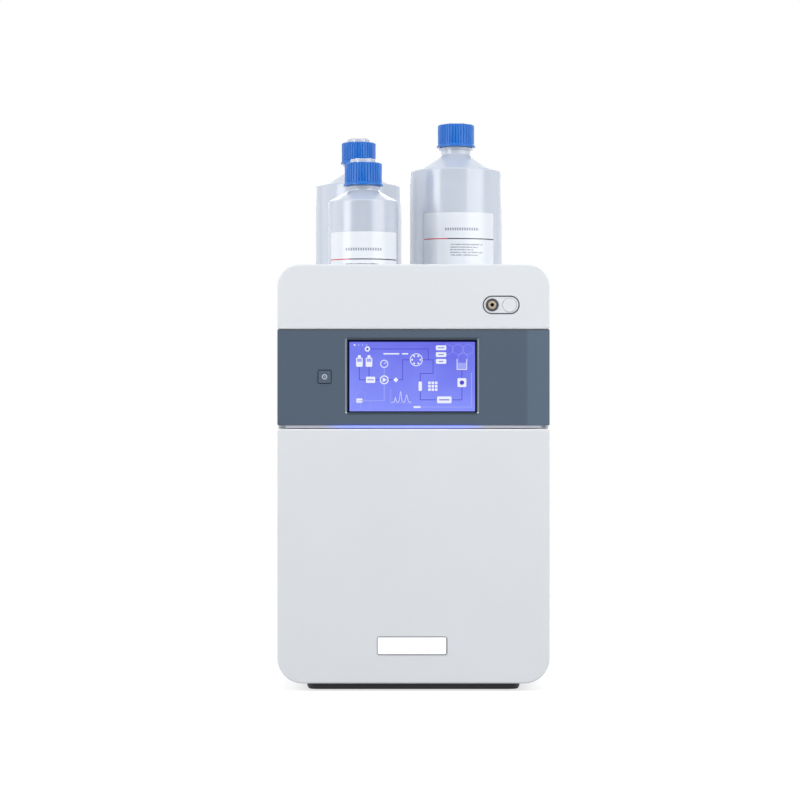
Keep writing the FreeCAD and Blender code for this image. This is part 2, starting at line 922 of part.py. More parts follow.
# Top tray
def top_tray():
    """Deep tray with drafted walls and a flange that carries it between the covers' top edges."""
    outer = flat_slab(-tray_half - tray_wall, tray_half + tray_wall, tray_front - tray_wall,
                      tray_back + tray_wall, tray_radius + tray_wall, tray_under, cabinet_top)
    flange = box(-top_return + fit_gap, top_return - fit_gap, cover_front, back_y,
                 cabinet_top - tray_flange, cabinet_top)
    low = rounded_wire(-tray_half + tray_draft, tray_half - tray_draft, tray_front + tray_draft,
                       tray_back - tray_draft, (tray_radius - tray_draft,) * 4,
                       lambda u, v: V(u, v, tray_floor_top))
    high = rounded_wire(-tray_half, tray_half, tray_front, tray_back, (tray_radius,) * 4,
                        lambda u, v: V(u, v, cabinet_top))
    cavity = Part.makeLoft([low, high], True)
    return join([outer, flange]).cut(cavity)


# Door
def door_shell():
    """Moulded door, open at the back, with screw posts and stiffening ribs inside."""
    low_round = edge_round + corner_ease
    outer = upright_slab(-half_width, half_width, body_bottom, door_top,
                         (bottom_radius, bottom_radius, low_round, low_round), front_y, door_back)
    outer = outer.makeFillet(edge_round, edges_at_y(outer, front_y))
    uprights = [e for e in edges_at_y(outer, door_back)
                if e.BoundBox.XLength < hair and e.BoundBox.ZLength > half_width]
    outer = outer.makeFillet(door_wall - 2 * hinge_ease, uprights)
    inner_radius = bottom_radius - door_wall
    inside = half_width - door_wall
    z0 = body_bottom + door_wall
    z1 = door_top - door_wall
    inner_radii = (inner_radius, inner_radius, corner_ease, corner_ease)
    door = outer.cut(upright_slab(-inside, inside, z0, z1, inner_radii, front_y + door_wall, door_back))
    y0 = front_y + door_wall - weld
    y1 = door_back - sheet
    middle = (body_bottom + door_top) / 2
    half = door_rib / 2
    rib_back = y0 + weld + door_rib_depth
    posts = [rod(V(x, y0, z), BACK, post_radius, y1 - y0) for x in (-corner_post_x, corner_post_x)
             for z in (body_bottom + door_post_low, door_top - door_post_high)]
    ribs = []
    for n in (-1, 0, 1):
        z = middle + n * door_rib_pitch_z
        x = n * door_rib_pitch_x
        ribs.append(box(-inside, inside, y0, rib_back, z - half, z + half))
        ribs.append(box(x - half, x + half, y0, rib_back, z0, z1))
    door = join([door] + posts + ribs)
    return door.cut(centred_slab(plate_x, plate_z, plate_width + 2 * fit_gap, plate_height + 2 * fit_gap,
                                 plate_corner + fit_gap, front_y, front_y + plate_recess))


def door_liner():
    inset = door_wall + fit_gap
    low_radius = bottom_radius - inset
    x = half_width - inset
    radii = (low_radius, low_radius, corner_ease, corner_ease)
    return upright_slab(-x, x, body_bottom + inset, door_top - inset, radii, door_back - sheet, door_back)


def name_plate():
    y1 = front_y + plate_recess
    y0 = y1 - plate_thick
    plate = centred_slab(plate_x, plate_z, plate_width, plate_height, plate_corner, y0, y1)
    return plate.makeChamfer(plate_chamfer, edges_at_y(plate, y0))


def knuckle(z0, z1):
    return rod(V(hinge_x, hinge_y, z0), UP, knuckle_radius, z1 - z0)


def hinge_leaf(z0, y0, own_spans):
    """Flat leaf clear of the other leaf's knuckles, with a tab under each of its own."""
    near = hinge_x + knuckle_radius + fit_gap
    plate = box(near, near + leaf_reach, y0, y0 + leaf_thick, z0, z0 + hinge_height)
    tabs = [box(hinge_x, near, y0, y0 + leaf_thick, a, b) for a, b in own_spans]
    return [plate] + tabs


def door_hinges():
    hinges = []
    for z0 in hinge_zs:
        middle = z0 + hinge_height / 2
        span = (middle - knuckle_share / 2, middle + knuckle_share / 2)
        leaf = join(hinge_leaf(z0, door_back, [span]) + [knuckle(*span)])
        hinges.append(leaf.cut(rod(V(hinge_x, hinge_y, z0), UP, pin_radius + running_gap, hinge_height)))
    return hinges


def frame_hinges():
    hinges = []
    for z0 in hinge_zs:
        reach = (hinge_height - knuckle_share) / 2 - knuckle_gap
        spans = [(z0, z0 + reach), (z0 + hinge_height - reach, z0 + hinge_height)]
        parts = hinge_leaf(z0, cover_front - leaf_thick, spans)
        parts += [knuckle(*span) for span in spans]
        parts.append(rod(V(hinge_x, hinge_y, z0), UP, pin_radius, hinge_height))
        hinges.append(join(parts))
    return hinges


def door_gasket():
    half = opening_half + gasket_gap
    z0 = lower_opening_bottom - gasket_gap
    z1 = lower_opening_top + gasket_gap
    y0 = door_back + fit_gap
    w = gasket_width
    outer = upright_slab(-half - w, half + w, z0 - w, z1 + w, (opening_radius + w,) * 4, y0, cover_front)
    return outer.cut(upright_slab(-half, half, z0, z1, (opening_radius,) * 4, y0, cover_front))


def door_magnets():
    y0 = door_back + fit_gap
    return [centred_slab(magnet_x, z, magnet_width, magnet_height, magnet_corner, y0, cover_front)
            for z in magnet_zs]


# Flow compartment
def bulkhead():
    corner = bottom_radius - cover_wall - cover_rib - sheet - fit_gap
    plate = upright_slab(-bay_half, bay_half, pan_top, shelf_bottom, (corner, corner, 0, 0),
                         bulkhead_face, bulkhead_back)
    side = 2 * (gearbox_half + fit_gap)
    return plate.cut(centred_box(valve_x, valve_z, side, side, bulkhead_face, bulkhead_back))


def mid_shelf():
    """Deck under the electronics, with cooling slots near both sides of its back edge."""
    deck = box(-bay_half, bay_half, frame_back + fit_gap, panel_inner - fit_gap, shelf_bottom, shelf_top)
    y1 = panel_inner - shelf_slot_back
    half = shelf_slot_width / 2
    slots = []
    for n in range(shelf_slots):
        for side in (-1, 1):
            x = side * (bay_half - shelf_slot_inset - n * shelf_slot_pitch)
            slots.append(box(x - half, x + half, y1 - shelf_slot_length, y1, shelf_bottom, shelf_top))
    return deck.cut(slots)


def drip_tray():
    y0 = frame_back + drip_gap
    y1 = bulkhead_face - drip_gap
    inner = drip_half - drip_wall
    tray = flat_slab(-drip_half, drip_half, y0, y1, drip_corner, pan_top, pan_top + drip_height)
    return tray.cut(flat_slab(-inner, inner, y0 + drip_wall, y1 - drip_wall, drip_corner - drip_wall,
                              pan_top + drip_wall, pan_top + drip_height))


def pump_heads():
    """Two cylinder heads with flats above and below for their check valves."""
    cap_start = head_length - head_cap_length
    steps = [(0, 0), (head_radius, 0), (head_radius, cap_start - head_cone),
             (head_radius - head_cone, cap_start), (head_cap, cap_start), (head_cap, head_length),
             (0, head_length)]
    y0 = bulkhead_face - head_length
    heads = []
    for x in pump_head_xs:
        head = turned(steps, V(x, bulkhead_face, pump_z), FRONT)
        for z0, z1 in ((head_flat, head_radius), (-head_radius, -head_flat)):
            head = head.cut(box(x - head_radius, x + head_radius, y0, bulkhead_face,
                                pump_z + z0, pump_z + z1))
        screws = [rod(V(x + head_screw_place * i, y0, pump_z + head_screw_place * j), FRONT,
                      head_screw_radius, head_screw_height) for i in (-1, 1) for j in (-1, 1)]
        heads.append(join([head] + screws))
    return heads


def check_valves():
    """An outlet valve on top of each head and an inlet valve below it."""
    y = bulkhead_face - valve_y
    neck = valve_body_length + valve_cone
    steps = [(0, 0), (valve_radius, 0), (valve_radius, valve_body_length), (nut_radius, neck),
             (nut_radius, valve_length), (0, valve_length)]
    valves = []
    for x in pump_head_xs:
        valves.append(turned(steps, V(x, y, pump_z + head_flat), UP))
        valves.append(turned(steps, V(x, y, pump_z - head_flat), V(0, 0, -1)))
    return valves


def knob_place():
    z = pump_z + head_flat + valve_length + manifold_height / 2
    return V(sum(pump_head_xs) / 2, bulkhead_face - manifold_depth, z)


def pump_manifold():
    z0 = pump_z + head_flat + valve_length
    block = upright_slab(pump_head_xs[0] - manifold_margin, pump_head_xs[1] + manifold_margin, z0,
                         z0 + manifold_height, (manifold_corner,) * 4, bulkhead_face - manifold_depth,
                         bulkhead_face)
    return block.cut(rod(knob_place(), BACK, knob_stem + running_gap, knob_stem_length + weld))


def purge_knob():
    """Fluted knob on the stem that opens the purge valve."""
    at = knob_place() + V(0, -fit_gap, 0)
    steps = [(0, 0), (knob_radius, 0), (knob_radius, knob_length - knob_edge),
             (knob_radius - knob_edge, knob_length), (0, knob_length)]
    flutes = []
    for n in range(knob_flutes):
        spot = around(n, knob_flutes) * (knob_radius + flute_radius - flute_depth)
        flutes.append(rod(at + spot + FRONT * knob_skirt, FRONT, flute_radius, knob_length))
    knob = turned(steps, at, FRONT).cut(flutes)
    return join([knob, rod(at, BACK, knob_stem, knob_stem_length)])


def pump_drive_housing():
    x = sum(pump_head_xs) / 2
    z = pump_z + drive_rise
    y1 = bulkhead_back + drive_depth
    case = centred_slab(x, z, drive_width, drive_height, drive_corner, bulkhead_back, y1)
    motor = rod(V(x, y1, z), BACK, motor_radius, motor_length)
    half = drive_width / 2 - drive_foot_inset
    foot = box(x - half, x + half, bulkhead_back, y1 - drive_foot_back, pan_top, z - drive_height / 2)
    return join([case, motor, foot])


def peristaltic_pump():
    """Back plate with the curved tubing track round the upper half of the rotor."""
    y_plate = bulkhead_face - roller_plate
    size = 2 * roller_plate_half
    plate = centred_slab(roller_x, roller_z, size, size, roller_plate_corner, y_plate, bulkhead_face)
    centre = V(roller_x, y_plate, roller_z)
    arch = rod(centre, FRONT, track_outer, track_depth)
    arch = arch.cut(box(-half_width, half_width, front_y, bulkhead_face, 0, roller_z - weld))
    block = centred_box(roller_x, roller_z - track_base / 2, 2 * track_outer, track_base,
                        y_plate - track_depth, y_plate)
    track = join([arch, block]).cut(rod(centre, FRONT, track_inner, track_depth))
    bore = rod(centre, BACK, rotor_shaft + running_gap, roller_plate - shaft_end_gap)
    return join([plate, track]).cut(bore)


def peristaltic_rotor():
    """Six rollers between two discs, on a shaft that turns in the back plate."""
    centre = V(roller_x, bulkhead_face - roller_plate, roller_z)
    reach = track_depth - rotor_disc_thick - rotor_clear
    discs = [rod(centre + FRONT * near, FRONT, rotor_disc, rotor_disc_thick) for near in (rotor_clear, reach)]
    rollers = [rod(centre + FRONT * rotor_clear + around(n, roller_count) * roller_circle, FRONT,
                   roller_radius, reach - rotor_clear) for n in range(roller_count)]
    depth = roller_plate - 2 * shaft_end_gap
    shaft = rod(centre + BACK * depth, FRONT, rotor_shaft, depth + track_depth - rotor_clear)
    return join(discs + rollers + [shaft])


def injection_valve():
    """Valve body on its flange, with the gearbox behind the bulkhead and a window over the rotor."""
    y = bulkhead_face
    flange_front = y - valve_flange
    size = 2 * valve_flange_half
    flange = centred_slab(valve_x, valve_z, size, size, valve_flange_corner, flange_front, y)
    neck = rotor_place + rotor_thick + stator_ring
    nose = stator_radius - stator_step
    steps = [(0, 0), (stator_radius, 0), (stator_radius, neck), (nose, neck + stator_cone),
             (nose, stator_length), (0, stator_length)]
    body = turned(steps, V(valve_x, flange_front, valve_z), FRONT)
    gearbox = centred_box(valve_x, valve_z, 2 * gearbox_half, 2 * gearbox_half, y, y + gearbox_depth)
    face = V(valve_x, flange_front - stator_length, valve_z)
    nuts = [rod(face + around(n, port_count) * port_circle, FRONT, port_nut_radius, port_nut_length)
            for n in range(port_count)]
    pocket_start = flange_front - rotor_place + fit_gap
    pocket_depth = rotor_thick + 2 * fit_gap
    at = V(valve_x, pocket_start, valve_z)
    pocket = rod(at, FRONT, rotor_radius + fit_gap, pocket_depth)
    window = box(valve_x - rotor_window, valve_x + rotor_window, pocket_start - pocket_depth, pocket_start,
                 valve_z, valve_z + stator_radius)
    shaft = rod(at, BACK, rotor_shaft_radius + running_gap, rotor_shaft_length + 2 * shaft_end_gap)
    return join([flange, body, gearbox] + nuts).cut([pocket, window, shaft])


def valve_rotor():
    """Rotor disc on its shaft, with a pointer that shows the valve's position."""
    at = V(valve_x, bulkhead_face - valve_flange - rotor_place, valve_z)
    disc = rod(at, FRONT, rotor_radius, rotor_thick)
    shaft = rod(at, BACK, rotor_shaft_radius, rotor_shaft_length)
    pointer = rod(at + FRONT * (rotor_thick / 2), UP, pointer_radius, rotor_radius + pointer_reach)
    pointer.rotate(at, BACK, -pointer_turn)
    return join([disc, shaft, pointer])


def bent_rod(points, radius, bend):
    """Round rod along straight runs joined by tangent arcs of one bend radius."""
    edges = []
    here = points[0]
    for before, corner, after in zip(points, points[1:], points[2:]):
        start, middle, end = tangent_arc(before, corner, after, bend)
        edges.append(Part.LineSegment(here, start).toShape())
        edges.append(Part.Arc(start, middle, end).toShape())
        here = end
    edges.append(Part.LineSegment(here, points[-1]).toShape())
    wire = Part.Wire(edges)
    circle = Part.Wire(Part.Circle(points[0], (points[1] - points[0]).normalize(), radius).toShape())
    return wire.makePipeShell([circle], True, True)


def sample_loop():
    """Loop bundle in front of the valve, with a leg from each of two ports."""
    face = bulkhead_face - valve_flange - stator_length - port_nut_length
    plane = face - loop_reach
    parts = [Part.makeTorus(loop_radius, loop_bundle, V(valve_x, plane, valve_z), BACK)]
    for side in (-1, 1):
        near = valve_x + side * port_circle
        far = valve_x + side * loop_radius
        route = [V(near, face, valve_z), V(near, plane, valve_z), V(far, plane, valve_z)]
        parts.append(bent_rod(route, loop_leg, loop_bend))
    return join(parts)


def analytical_column():
    y = bulkhead_face - column_axis
    length = column_top - column_bottom
    ends = fitting_length
    steps = [(0, 0), (nut_radius, 0), (nut_radius, nut_length), (fitting_radius, nut_length),
             (fitting_radius, ends), (column_radius, ends), (column_radius, length - ends),
             (fitting_radius, length - ends), (fitting_radius, length - nut_length),
             (nut_radius, length - nut_length), (nut_radius, length), (0, length)]
    return turned(steps, V(column_x, y, column_bottom), UP)


def column_clips():
    """Two clips that the column snaps into from the front."""
    y = bulkhead_face - column_axis
    clips = []
    for z in clip_zs:
        z0 = z - clip_height / 2
        z1 = z + clip_height / 2
        clip = flat_slab(column_x - clip_half, column_x + clip_half, y - clip_half, bulkhead_face,
                         clip_corner, z0, z1)
        clip = clip.cut(rod(V(column_x, y, z0), UP, column_radius + fit_gap, clip_height))
        mouth = box(column_x - clip_mouth / 2, column_x + clip_mouth / 2, y - clip_half, y, z0, z1)
        clips.append(clip.cut(mouth))
    return clips


def suppressor():
    """Waisted cartridge with a rim at each end and three fittings on its nose."""
    r = suppressor_radius
    waist = r - suppressor_waist
    low = suppressor_rim + suppressor_waist
    high = suppressor_length - low
    tip = suppressor_length + suppressor_nose
    steps = [(0, 0), (r, 0), (r, suppressor_rim), (waist, low), (waist, high), (r, high + suppressor_waist),
             (r, suppressor_length), (r - suppressor_nose_step, tip), (0, tip)]
    can = turned(steps, V(suppressor_x, bulkhead_face, suppressor_z), FRONT)
    nose = V(suppressor_x, bulkhead_face - tip, suppressor_z)
    fittings = [rod(nose + around(n, suppressor_ports, 90) * suppressor_port_circle, FRONT, nut_radius,
                    nut_length) for n in range(suppressor_ports)]
    return join([can] + fittings)


def conductivity_detector():
    """Detector block with a raised lid on its face and two fittings on top."""
    face = bulkhead_face - detector_depth
    width = 2 * detector_half_width
    height = 2 * detector_half_height
    block = centred_slab(detector_x, detector_z, width, height, detector_corner, face, bulkhead_face)
    margin = 2 * detector_lid_inset
    lid = centred_slab(detector_x, detector_z, width - margin, height - margin,
                       detector_corner - detector_lid_inset / 2, face - detector_lid, face)
    y = bulkhead_face - detector_depth / 2
    fittings = [rod(V(detector_x + x, y, detector_z + detector_half_height), UP, nut_radius, nut_length)
                for x in (-detector_port_x, detector_port_x)]
    return join([block, lid] + fittings)


# Rear bay
def power_supply():
    """Enclosed supply with cooling slots in its lid, standing on four pillars."""
    z0 = pan_top + supply_rise
    z1 = z0 + supply_height
    case = box(supply_x0, supply_x1, supply_y0, supply_y1, z0, z1)
    run = supply_width - 2 * supply_slot_margin - supply_slot_width
    slots = []
    for n in range(int(run // supply_slot_pitch) + 1):
        x = supply_x0 + supply_slot_margin + n * supply_slot_pitch
        slots.append(box(x, x + supply_slot_width, supply_y0 + supply_slot_margin,
                         supply_y1 - supply_slot_margin, z1 - supply_slot_depth, z1))
    feet = [rod(V(x, y, pan_top), UP, supply_foot_radius, supply_rise)
            for x in (supply_x0 + 2 * supply_foot_inset, supply_x1 - supply_foot_inset)
            for y in (supply_y0 + supply_foot_inset, supply_y1 - supply_foot_inset)]
    return join([case.cut(slots)] + feet)


def vent_slots():
    slots = []
    for column in range(vent_columns):
        for row in range(vent_rows):
            x = vent_x0 + column * vent_pitch_x + vent_length / 2
            z = vent_z0 + row * vent_pitch_z
            slots.append(stadium(x, z, vent_length, vent_width, panel_inner, panel_outer))
    return slots


def rear_panel():
    """Back panel with the cooling slots, the fan's hole and the windows for the sockets."""
    panel = shell_outline(cover_wall + fit_gap, panel_inner, panel_outer)
    holes = vent_slots()
    holes.append(rod(V(fan_x, panel_inner, fan_z), BACK, fan_hole, sheet))
    play = 2 * fit_gap
    for x, z, width, height in ((entry_x, entry_z, entry_width, entry_height),
                                (ports_x, ports_z, ports_width, ports_height)):
        holes.append(centred_box(x, z, width + play, height + play, panel_inner, panel_outer))
    return panel.cut(holes)


def fan_housing():
    """Square fan frame whose struts carry the motor and the shaft."""
    y0 = panel_inner - fan_depth
    centre = V(fan_x, y0, fan_z)
    frame = centred_slab(fan_x, fan_z, fan_size, fan_size, fan_corner, y0, panel_inner)
    frame = frame.cut(rod(centre, BACK, fan_bore, fan_depth))
    motor = rod(centre, BACK, fan_hub, strut_thick)
    pin = rod(centre, BACK, fan_shaft, fan_depth - fan_pin_end)
    half = strut_width / 2
    struts = []
    for n in range(strut_count):
        bar = box(fan_x, fan_x + fan_bore + weld, y0, y0 + strut_thick, fan_z - half, fan_z + half)
        bar.rotate(centre, BACK, strut_turn + 360 * n / strut_count)
        struts.append(bar)
    return join([frame, motor, pin] + struts)


def fan_impeller():
    """Hub with a ring of pitched blades, bored to run on the housing's shaft."""
    y0 = panel_inner - fan_depth + hub_gap
    length = fan_depth - 2 * hub_gap
    bore = fan_shaft + running_gap
    steps = [(bore, 0), (fan_hub, 0), (fan_hub, length - hub_edge), (fan_hub - hub_edge, length),
             (bore, length)]
    hub = turned(steps, V(fan_x, y0, fan_z), BACK)
    thick = blade_thick / 2
    chord = blade_chord / 2
    blades = []
    for n in range(fan_blades):
        blade = box(fan_hub - 2 * weld, blade_tip, -thick, thick, -chord, chord)
        blade.rotate(V(0, 0, 0), RIGHT, 90 - blade_pitch)
        blade.rotate(V(0, 0, 0), BACK, 360 * n / fan_blades)
        blade.translate(V(fan_x, y0 + length / 2, fan_z))
        blades.append(blade)
    return join([hub] + blades)


def fan_guard():
    """Wire finger guard: rings on two crossed spokes, whose ends bend back to the panel."""
    centre = V(fan_x, back_y + rear_proud - guard_spoke, fan_z)
    rings = [Part.makeTorus(r, guard_wire, centre, BACK) for r in guard_rings]
    foot = V(0, panel_outer - centre.y, 0)
    spokes = []
    for angle in (guard_turn, guard_turn + 90):
        reach = V(math.cos(math.radians(angle)), 0, math.sin(math.radians(angle))) * guard_reach
        route = [centre - reach + foot, centre - reach, centre + reach, centre + reach + foot]
        spokes.append(bent_rod(route, guard_spoke, guard_bend))
    return join(spokes + rings)


def rocker_place():
    return V(entry_x, panel_outer, entry_z + rocker_rise)


def power_entry():
    """Mains inlet and rocker switch in one moulded body behind a flange."""
    face = panel_outer + entry_flange_thick
    body = centred_slab(entry_x, entry_z, entry_width, entry_height, entry_corner, panel_outer - entry_depth,
                        panel_outer)
    flange = centred_slab(entry_x, entry_z, entry_width + 2 * entry_flange, entry_height + 2 * entry_flange,
                          entry_flange_corner, panel_outer, face)
    flange = flange.makeChamfer(entry_chamfer, edges_at_y(flange, face))
    z = entry_z - inlet_drop
    floor = face - inlet_depth
    socket = upright_slab(entry_x - inlet_width / 2, entry_x + inlet_width / 2, z - inlet_height / 2,
                          z + inlet_height / 2, (corner_ease, corner_ease, inlet_key, inlet_key), floor, face)
    spots = [(-blade_pin_pitch, -blade_pin_rise), (0, blade_pin_rise), (blade_pin_pitch, -blade_pin_rise)]
    pins = [centred_box(entry_x + x, z + dz, blade_pin_width, blade_pin_height, floor - weld,
                        floor + blade_pin_length) for x, dz in spots]
    at = rocker_place()
    well = centred_box(at.x, at.z, rocker_width + 2 * fit_gap, rocker_height + 2 * rocker_well_margin,
                       face - rocker_well_depth, face)
    reach = rocker_width / 2 + rocker_pin_length + fit_gap
    pivot = rod(at - RIGHT * reach, RIGHT, rocker_pin + running_gap, 2 * reach)
    return join([join([body, flange]).cut(socket)] + pins).cut([well, pivot])


def rocker():
    """Rocker whose face dips to its middle, tilted to its off position on its pivot pins."""
    at = rocker_place()
    half = rocker_height / 2
    low = -rocker_depth / 2
    high = rocker_depth / 2
    corners = [(-half, low), (half, low), (half, high), (0, high - rocker_dip), (-half, high)]
    points = [V(at.x - rocker_width / 2, at.y + y, at.z + z) for z, y in corners]
    body = Part.Face(Part.makePolygon(points + points[:1])).extrude(V(rocker_width, 0, 0))
    reach = rocker_width / 2 + rocker_pin_length
    body = join([body, rod(at - RIGHT * reach, RIGHT, rocker_pin, 2 * reach)])
    body.rotate(at, RIGHT, -rocker_tilt)
    return body


def data_ports():
    """Network and serial sockets in one shielded block, held behind the panel by a flange."""
    face = panel_outer + ports_proud
    body = centred_box(ports_x, ports_z, ports_width, ports_height, face - ports_depth, face)
    margin = 2 * ports_flange
    flange = centred_box(ports_x, ports_z, ports_width + margin, ports_height + margin, panel_inner - sheet,
                         panel_inner)
    half = ports_width / 2 - ports_margin
    network_x = ports_x + half - network_width / 2
    sockets = [centred_box(network_x, ports_z, network_width, network_height, face - network_depth, face)]
    tongues = []
    for n in range(2):
        x = ports_x - half + serial_width / 2 + n * (serial_width + ports_margin)
        sockets.append(centred_box(x, ports_z, serial_width, serial_height, face - serial_depth, face))
        tongues.append(centred_box(x, ports_z + serial_tongue_rise, serial_width - 2 * serial_tongue_side,
                                   serial_tongue, face - serial_depth - weld, face - ports_proud))
    return join([join([body, flange]).cut(sockets)] + tongues)


# Bottles
def bottle_body(radius, shoulder, neck, neck_foot, floor, bend):
    """Steps from the recessed underside, round the heel, up the wall and over the conical shoulder."""
    corner = (radius, shoulder)
    heel = (radius, floor)
    ring = radius - heel_ring
    return ([(0, floor + heel_rise), (ring - 2 * heel_rise, floor + heel_rise)]
            + profile_corner((ring, floor), heel, corner, bend)
            + profile_corner(heel, corner, (neck, neck_foot), shoulder_bend))


def bottle(place, radius, shoulder, neck_foot, cap_bottom, cap_top):
    """Blow-moulded bottle, hollow to the mouth, with a bead and the threaded band under the cap."""
    mouth = cap_top - cap_plate - insert_flange_thick
    bead_top = cap_bottom - bead_gap
    bead_foot = bead_top - bead_height
    outer = bottle_body(radius, shoulder, neck_radius, neck_foot, 0, heel_bend)
    thread_foot = cap_bottom + thread_rise
    outer += [(neck_radius, neck_foot), (neck_radius, bead_foot), (bead_radius, bead_foot + bead_chamfer),
              (bead_radius, bead_top - bead_chamfer), (neck_radius, bead_top), (neck_radius, thread_foot),
              (thread_radius, thread_foot + thread_lead), (thread_radius, mouth - thread_rise),
              (neck_radius, mouth), (0, mouth)]
    w = bottle_wall
    inner = bottle_body(radius - w, shoulder - w / 2, neck_bore, neck_foot - w / 2, w, heel_bend - w)
    inner += [(neck_bore, neck_foot - w / 2), (neck_bore, mouth), (0, mouth)]
    at = V(*place, tray_floor_top)
    return turned(outer, at).cut(turned(inner, at))


def screw_cap(place, cap_bottom, cap_top, **other_sizes):
    """Open-top ring cap: grooved side wall, flared skirt, and a top plate that holds the insert."""
    inner = thread_radius + fit_gap
    hole = insert_radius + fit_gap
    flare_top = cap_bottom + cap_flare_height
    plate = cap_top - cap_plate
    steps = [(inner, cap_bottom), (cap_flare - cap_lip_step, cap_bottom), (cap_flare, cap_bottom + cap_lip),
             (cap_radius, flare_top), (cap_radius, cap_top - cap_chamfer),
             (cap_radius - cap_chamfer, cap_top), (hole, cap_top), (hole, plate), (inner, plate)]
    at = V(*place, tray_floor_top)
    grooves = []
    for n in range(cap_grooves):
        angle = 2 * math.pi * n / cap_grooves
        spot = V(math.cos(angle), math.sin(angle), 0) * (cap_radius + cap_groove / 2)
        grooves.append(rod(at + spot + UP * flare_top, UP, cap_groove, cap_top - flare_top))
    return turned(steps, at).cut(grooves)


def cap_insert(place, proud, cap_top, **other_sizes):
    """Turned insert that the ring cap clamps on the mouth, with three plugged tubing ports on top."""
    plate = cap_top - cap_plate
    flange = plate - insert_flange_thick
    foot = flange - insert_plug
    top = cap_top + proud - insert_port_rise
    plug = neck_bore - fit_gap
    edge = insert_edge
    steps = [(0, foot), (plug - edge, foot), (plug, foot + edge), (plug, flange), (insert_flange, flange),
             (insert_flange, plate), (insert_radius, plate), (insert_radius, top - edge),
             (insert_radius - edge, top), (0, top)]
    at = V(*place, tray_floor_top)
    ports = []
    for n in range(insert_ports):
        angle = math.radians(90 + 360 * n / insert_ports)
        spot = V(math.cos(angle), math.sin(angle), 0) * insert_port_circle
        ports.append(rod(at + spot + UP * top, UP, insert_port_radius, insert_port_rise))
    return join([turned(steps, at)] + ports)


def wrapped_label(place, radius, top, half_angle):
    inner = radius + label_gap
    at = V(*place, tray_floor_top + label_bottom)
    height = top - label_bottom
    sheet_round = Part.makeCylinder(inner + label_thick, height, at, UP, 2 * half_angle)
    hollow = Part.makeCylinder(inner, height, at, UP, 360)
    label = sheet_round.cut(hollow)
    label.rotate(at, UP, -90 - half_angle)
    return label


def bottle_labels():
    return [wrapped_label(bottle_right_place, large_bottle["radius"], label_right_top, label_right_half),
            wrapped_label(bottle_front_place, small_bottle["radius"], label_front_top, label_front_half)]


def export_bottles():
    for name, place, size, proud in (("right", bottle_right_place, large_bottle, insert_right_proud),
                                     ("rear", bottle_rear_place, large_bottle, insert_rear_proud),
                                     ("front", bottle_front_place, small_bottle, insert_front_proud)):
        export("bottle_" + name, bottle(place, **size))
        export("cap_" + name, screw_cap(place, **size))
        export("insert_" + name, cap_insert(place, proud, **size))


def main():
    os.makedirs("parts", exist_ok=True)
    export("left_cover", side_cover(-1))
    export("right_cover", side_cover(1))
    for build in (rubber_feet, base_plinth, chassis_tub, front_frame, upper_fascia, control_band,
                  light_strip, display_bezel, display_glass, circuit_boards, button_switches,
                  power_button, port_plate, needle_port, inject_button, top_tray, door_shell,
                  door_liner, name_plate, door_hinges, frame_hinges, door_gasket, door_magnets,
                  bulkhead, mid_shelf, drip_tray, pump_heads, check_valves, pump_manifold,
                  purge_knob, pump_drive_housing, peristaltic_pump, peristaltic_rotor,
                  injection_valve, valve_rotor, sample_loop, analytical_column, column_clips,
                  suppressor, conductivity_detector, power_supply, rear_panel, fan_housing,
                  fan_impeller, fan_guard, power_entry, rocker, data_ports, bottle_labels):
        export(build.__name__, build())
    export_bottles()


main()
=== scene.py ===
import json
import logging
import math
from dataclasses import dataclass, field
from enum import Enum
from typing import Iterable, Sequence, Union

import bmesh
import bpy
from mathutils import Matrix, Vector


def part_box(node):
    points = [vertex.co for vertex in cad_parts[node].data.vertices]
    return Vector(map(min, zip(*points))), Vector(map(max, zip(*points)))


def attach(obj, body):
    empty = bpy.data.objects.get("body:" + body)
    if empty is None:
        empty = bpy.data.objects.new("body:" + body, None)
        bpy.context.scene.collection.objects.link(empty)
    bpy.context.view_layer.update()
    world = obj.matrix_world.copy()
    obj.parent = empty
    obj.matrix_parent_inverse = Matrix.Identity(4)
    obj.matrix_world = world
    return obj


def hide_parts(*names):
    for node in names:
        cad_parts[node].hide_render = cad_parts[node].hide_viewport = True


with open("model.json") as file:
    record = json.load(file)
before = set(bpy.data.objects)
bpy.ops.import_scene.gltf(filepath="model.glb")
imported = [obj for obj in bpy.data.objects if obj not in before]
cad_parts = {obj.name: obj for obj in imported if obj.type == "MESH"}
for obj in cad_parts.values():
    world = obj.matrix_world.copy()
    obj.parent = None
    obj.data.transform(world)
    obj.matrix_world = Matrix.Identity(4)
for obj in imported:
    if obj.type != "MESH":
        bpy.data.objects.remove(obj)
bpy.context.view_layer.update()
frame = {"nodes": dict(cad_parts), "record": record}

# Finishes, fittings and studio for a bench-top ion chromatograph. Sizes are in metres.

LOG = logging.getLogger("ion_chromatograph")

Point = tuple[float, float]
Place = tuple[float, float, float]
Colour = tuple[float, float, float]
Value = Union["Signal", float]

FRONT = Vector((0, -1, 0))
BACK = Vector((0, 1, 0))
RIGHT = Vector((1, 0, 0))
UP = Vector((0, 0, 1))

PURE_WHITE = (1.0, 1.0, 1.0)
SMOOTH_ANGLE = math.radians(35)
BEVEL_ANGLE = math.radians(40)


def tone(red: int, green: int, blue: int) -> Colour:
    """Turns a screen colour into a linear one.

    Args:
        red: Red from 0 to 255.
        green: Green from 0 to 255.
        blue: Blue from 0 to 255.

    Returns:
        The linear colour.
    """
    shares = [value / 255 for value in (red, green, blue)]
    return tuple(s / 12.92 if s <= 0.04045 else ((s + 0.055) / 1.055) ** 2.4 for s in shares)


def scaled(colour: Colour, factor: float) -> Colour:
    """A colour made lighter or darker by a factor, held at 1."""
    return tuple(min(1.0, channel * factor) for channel in colour)


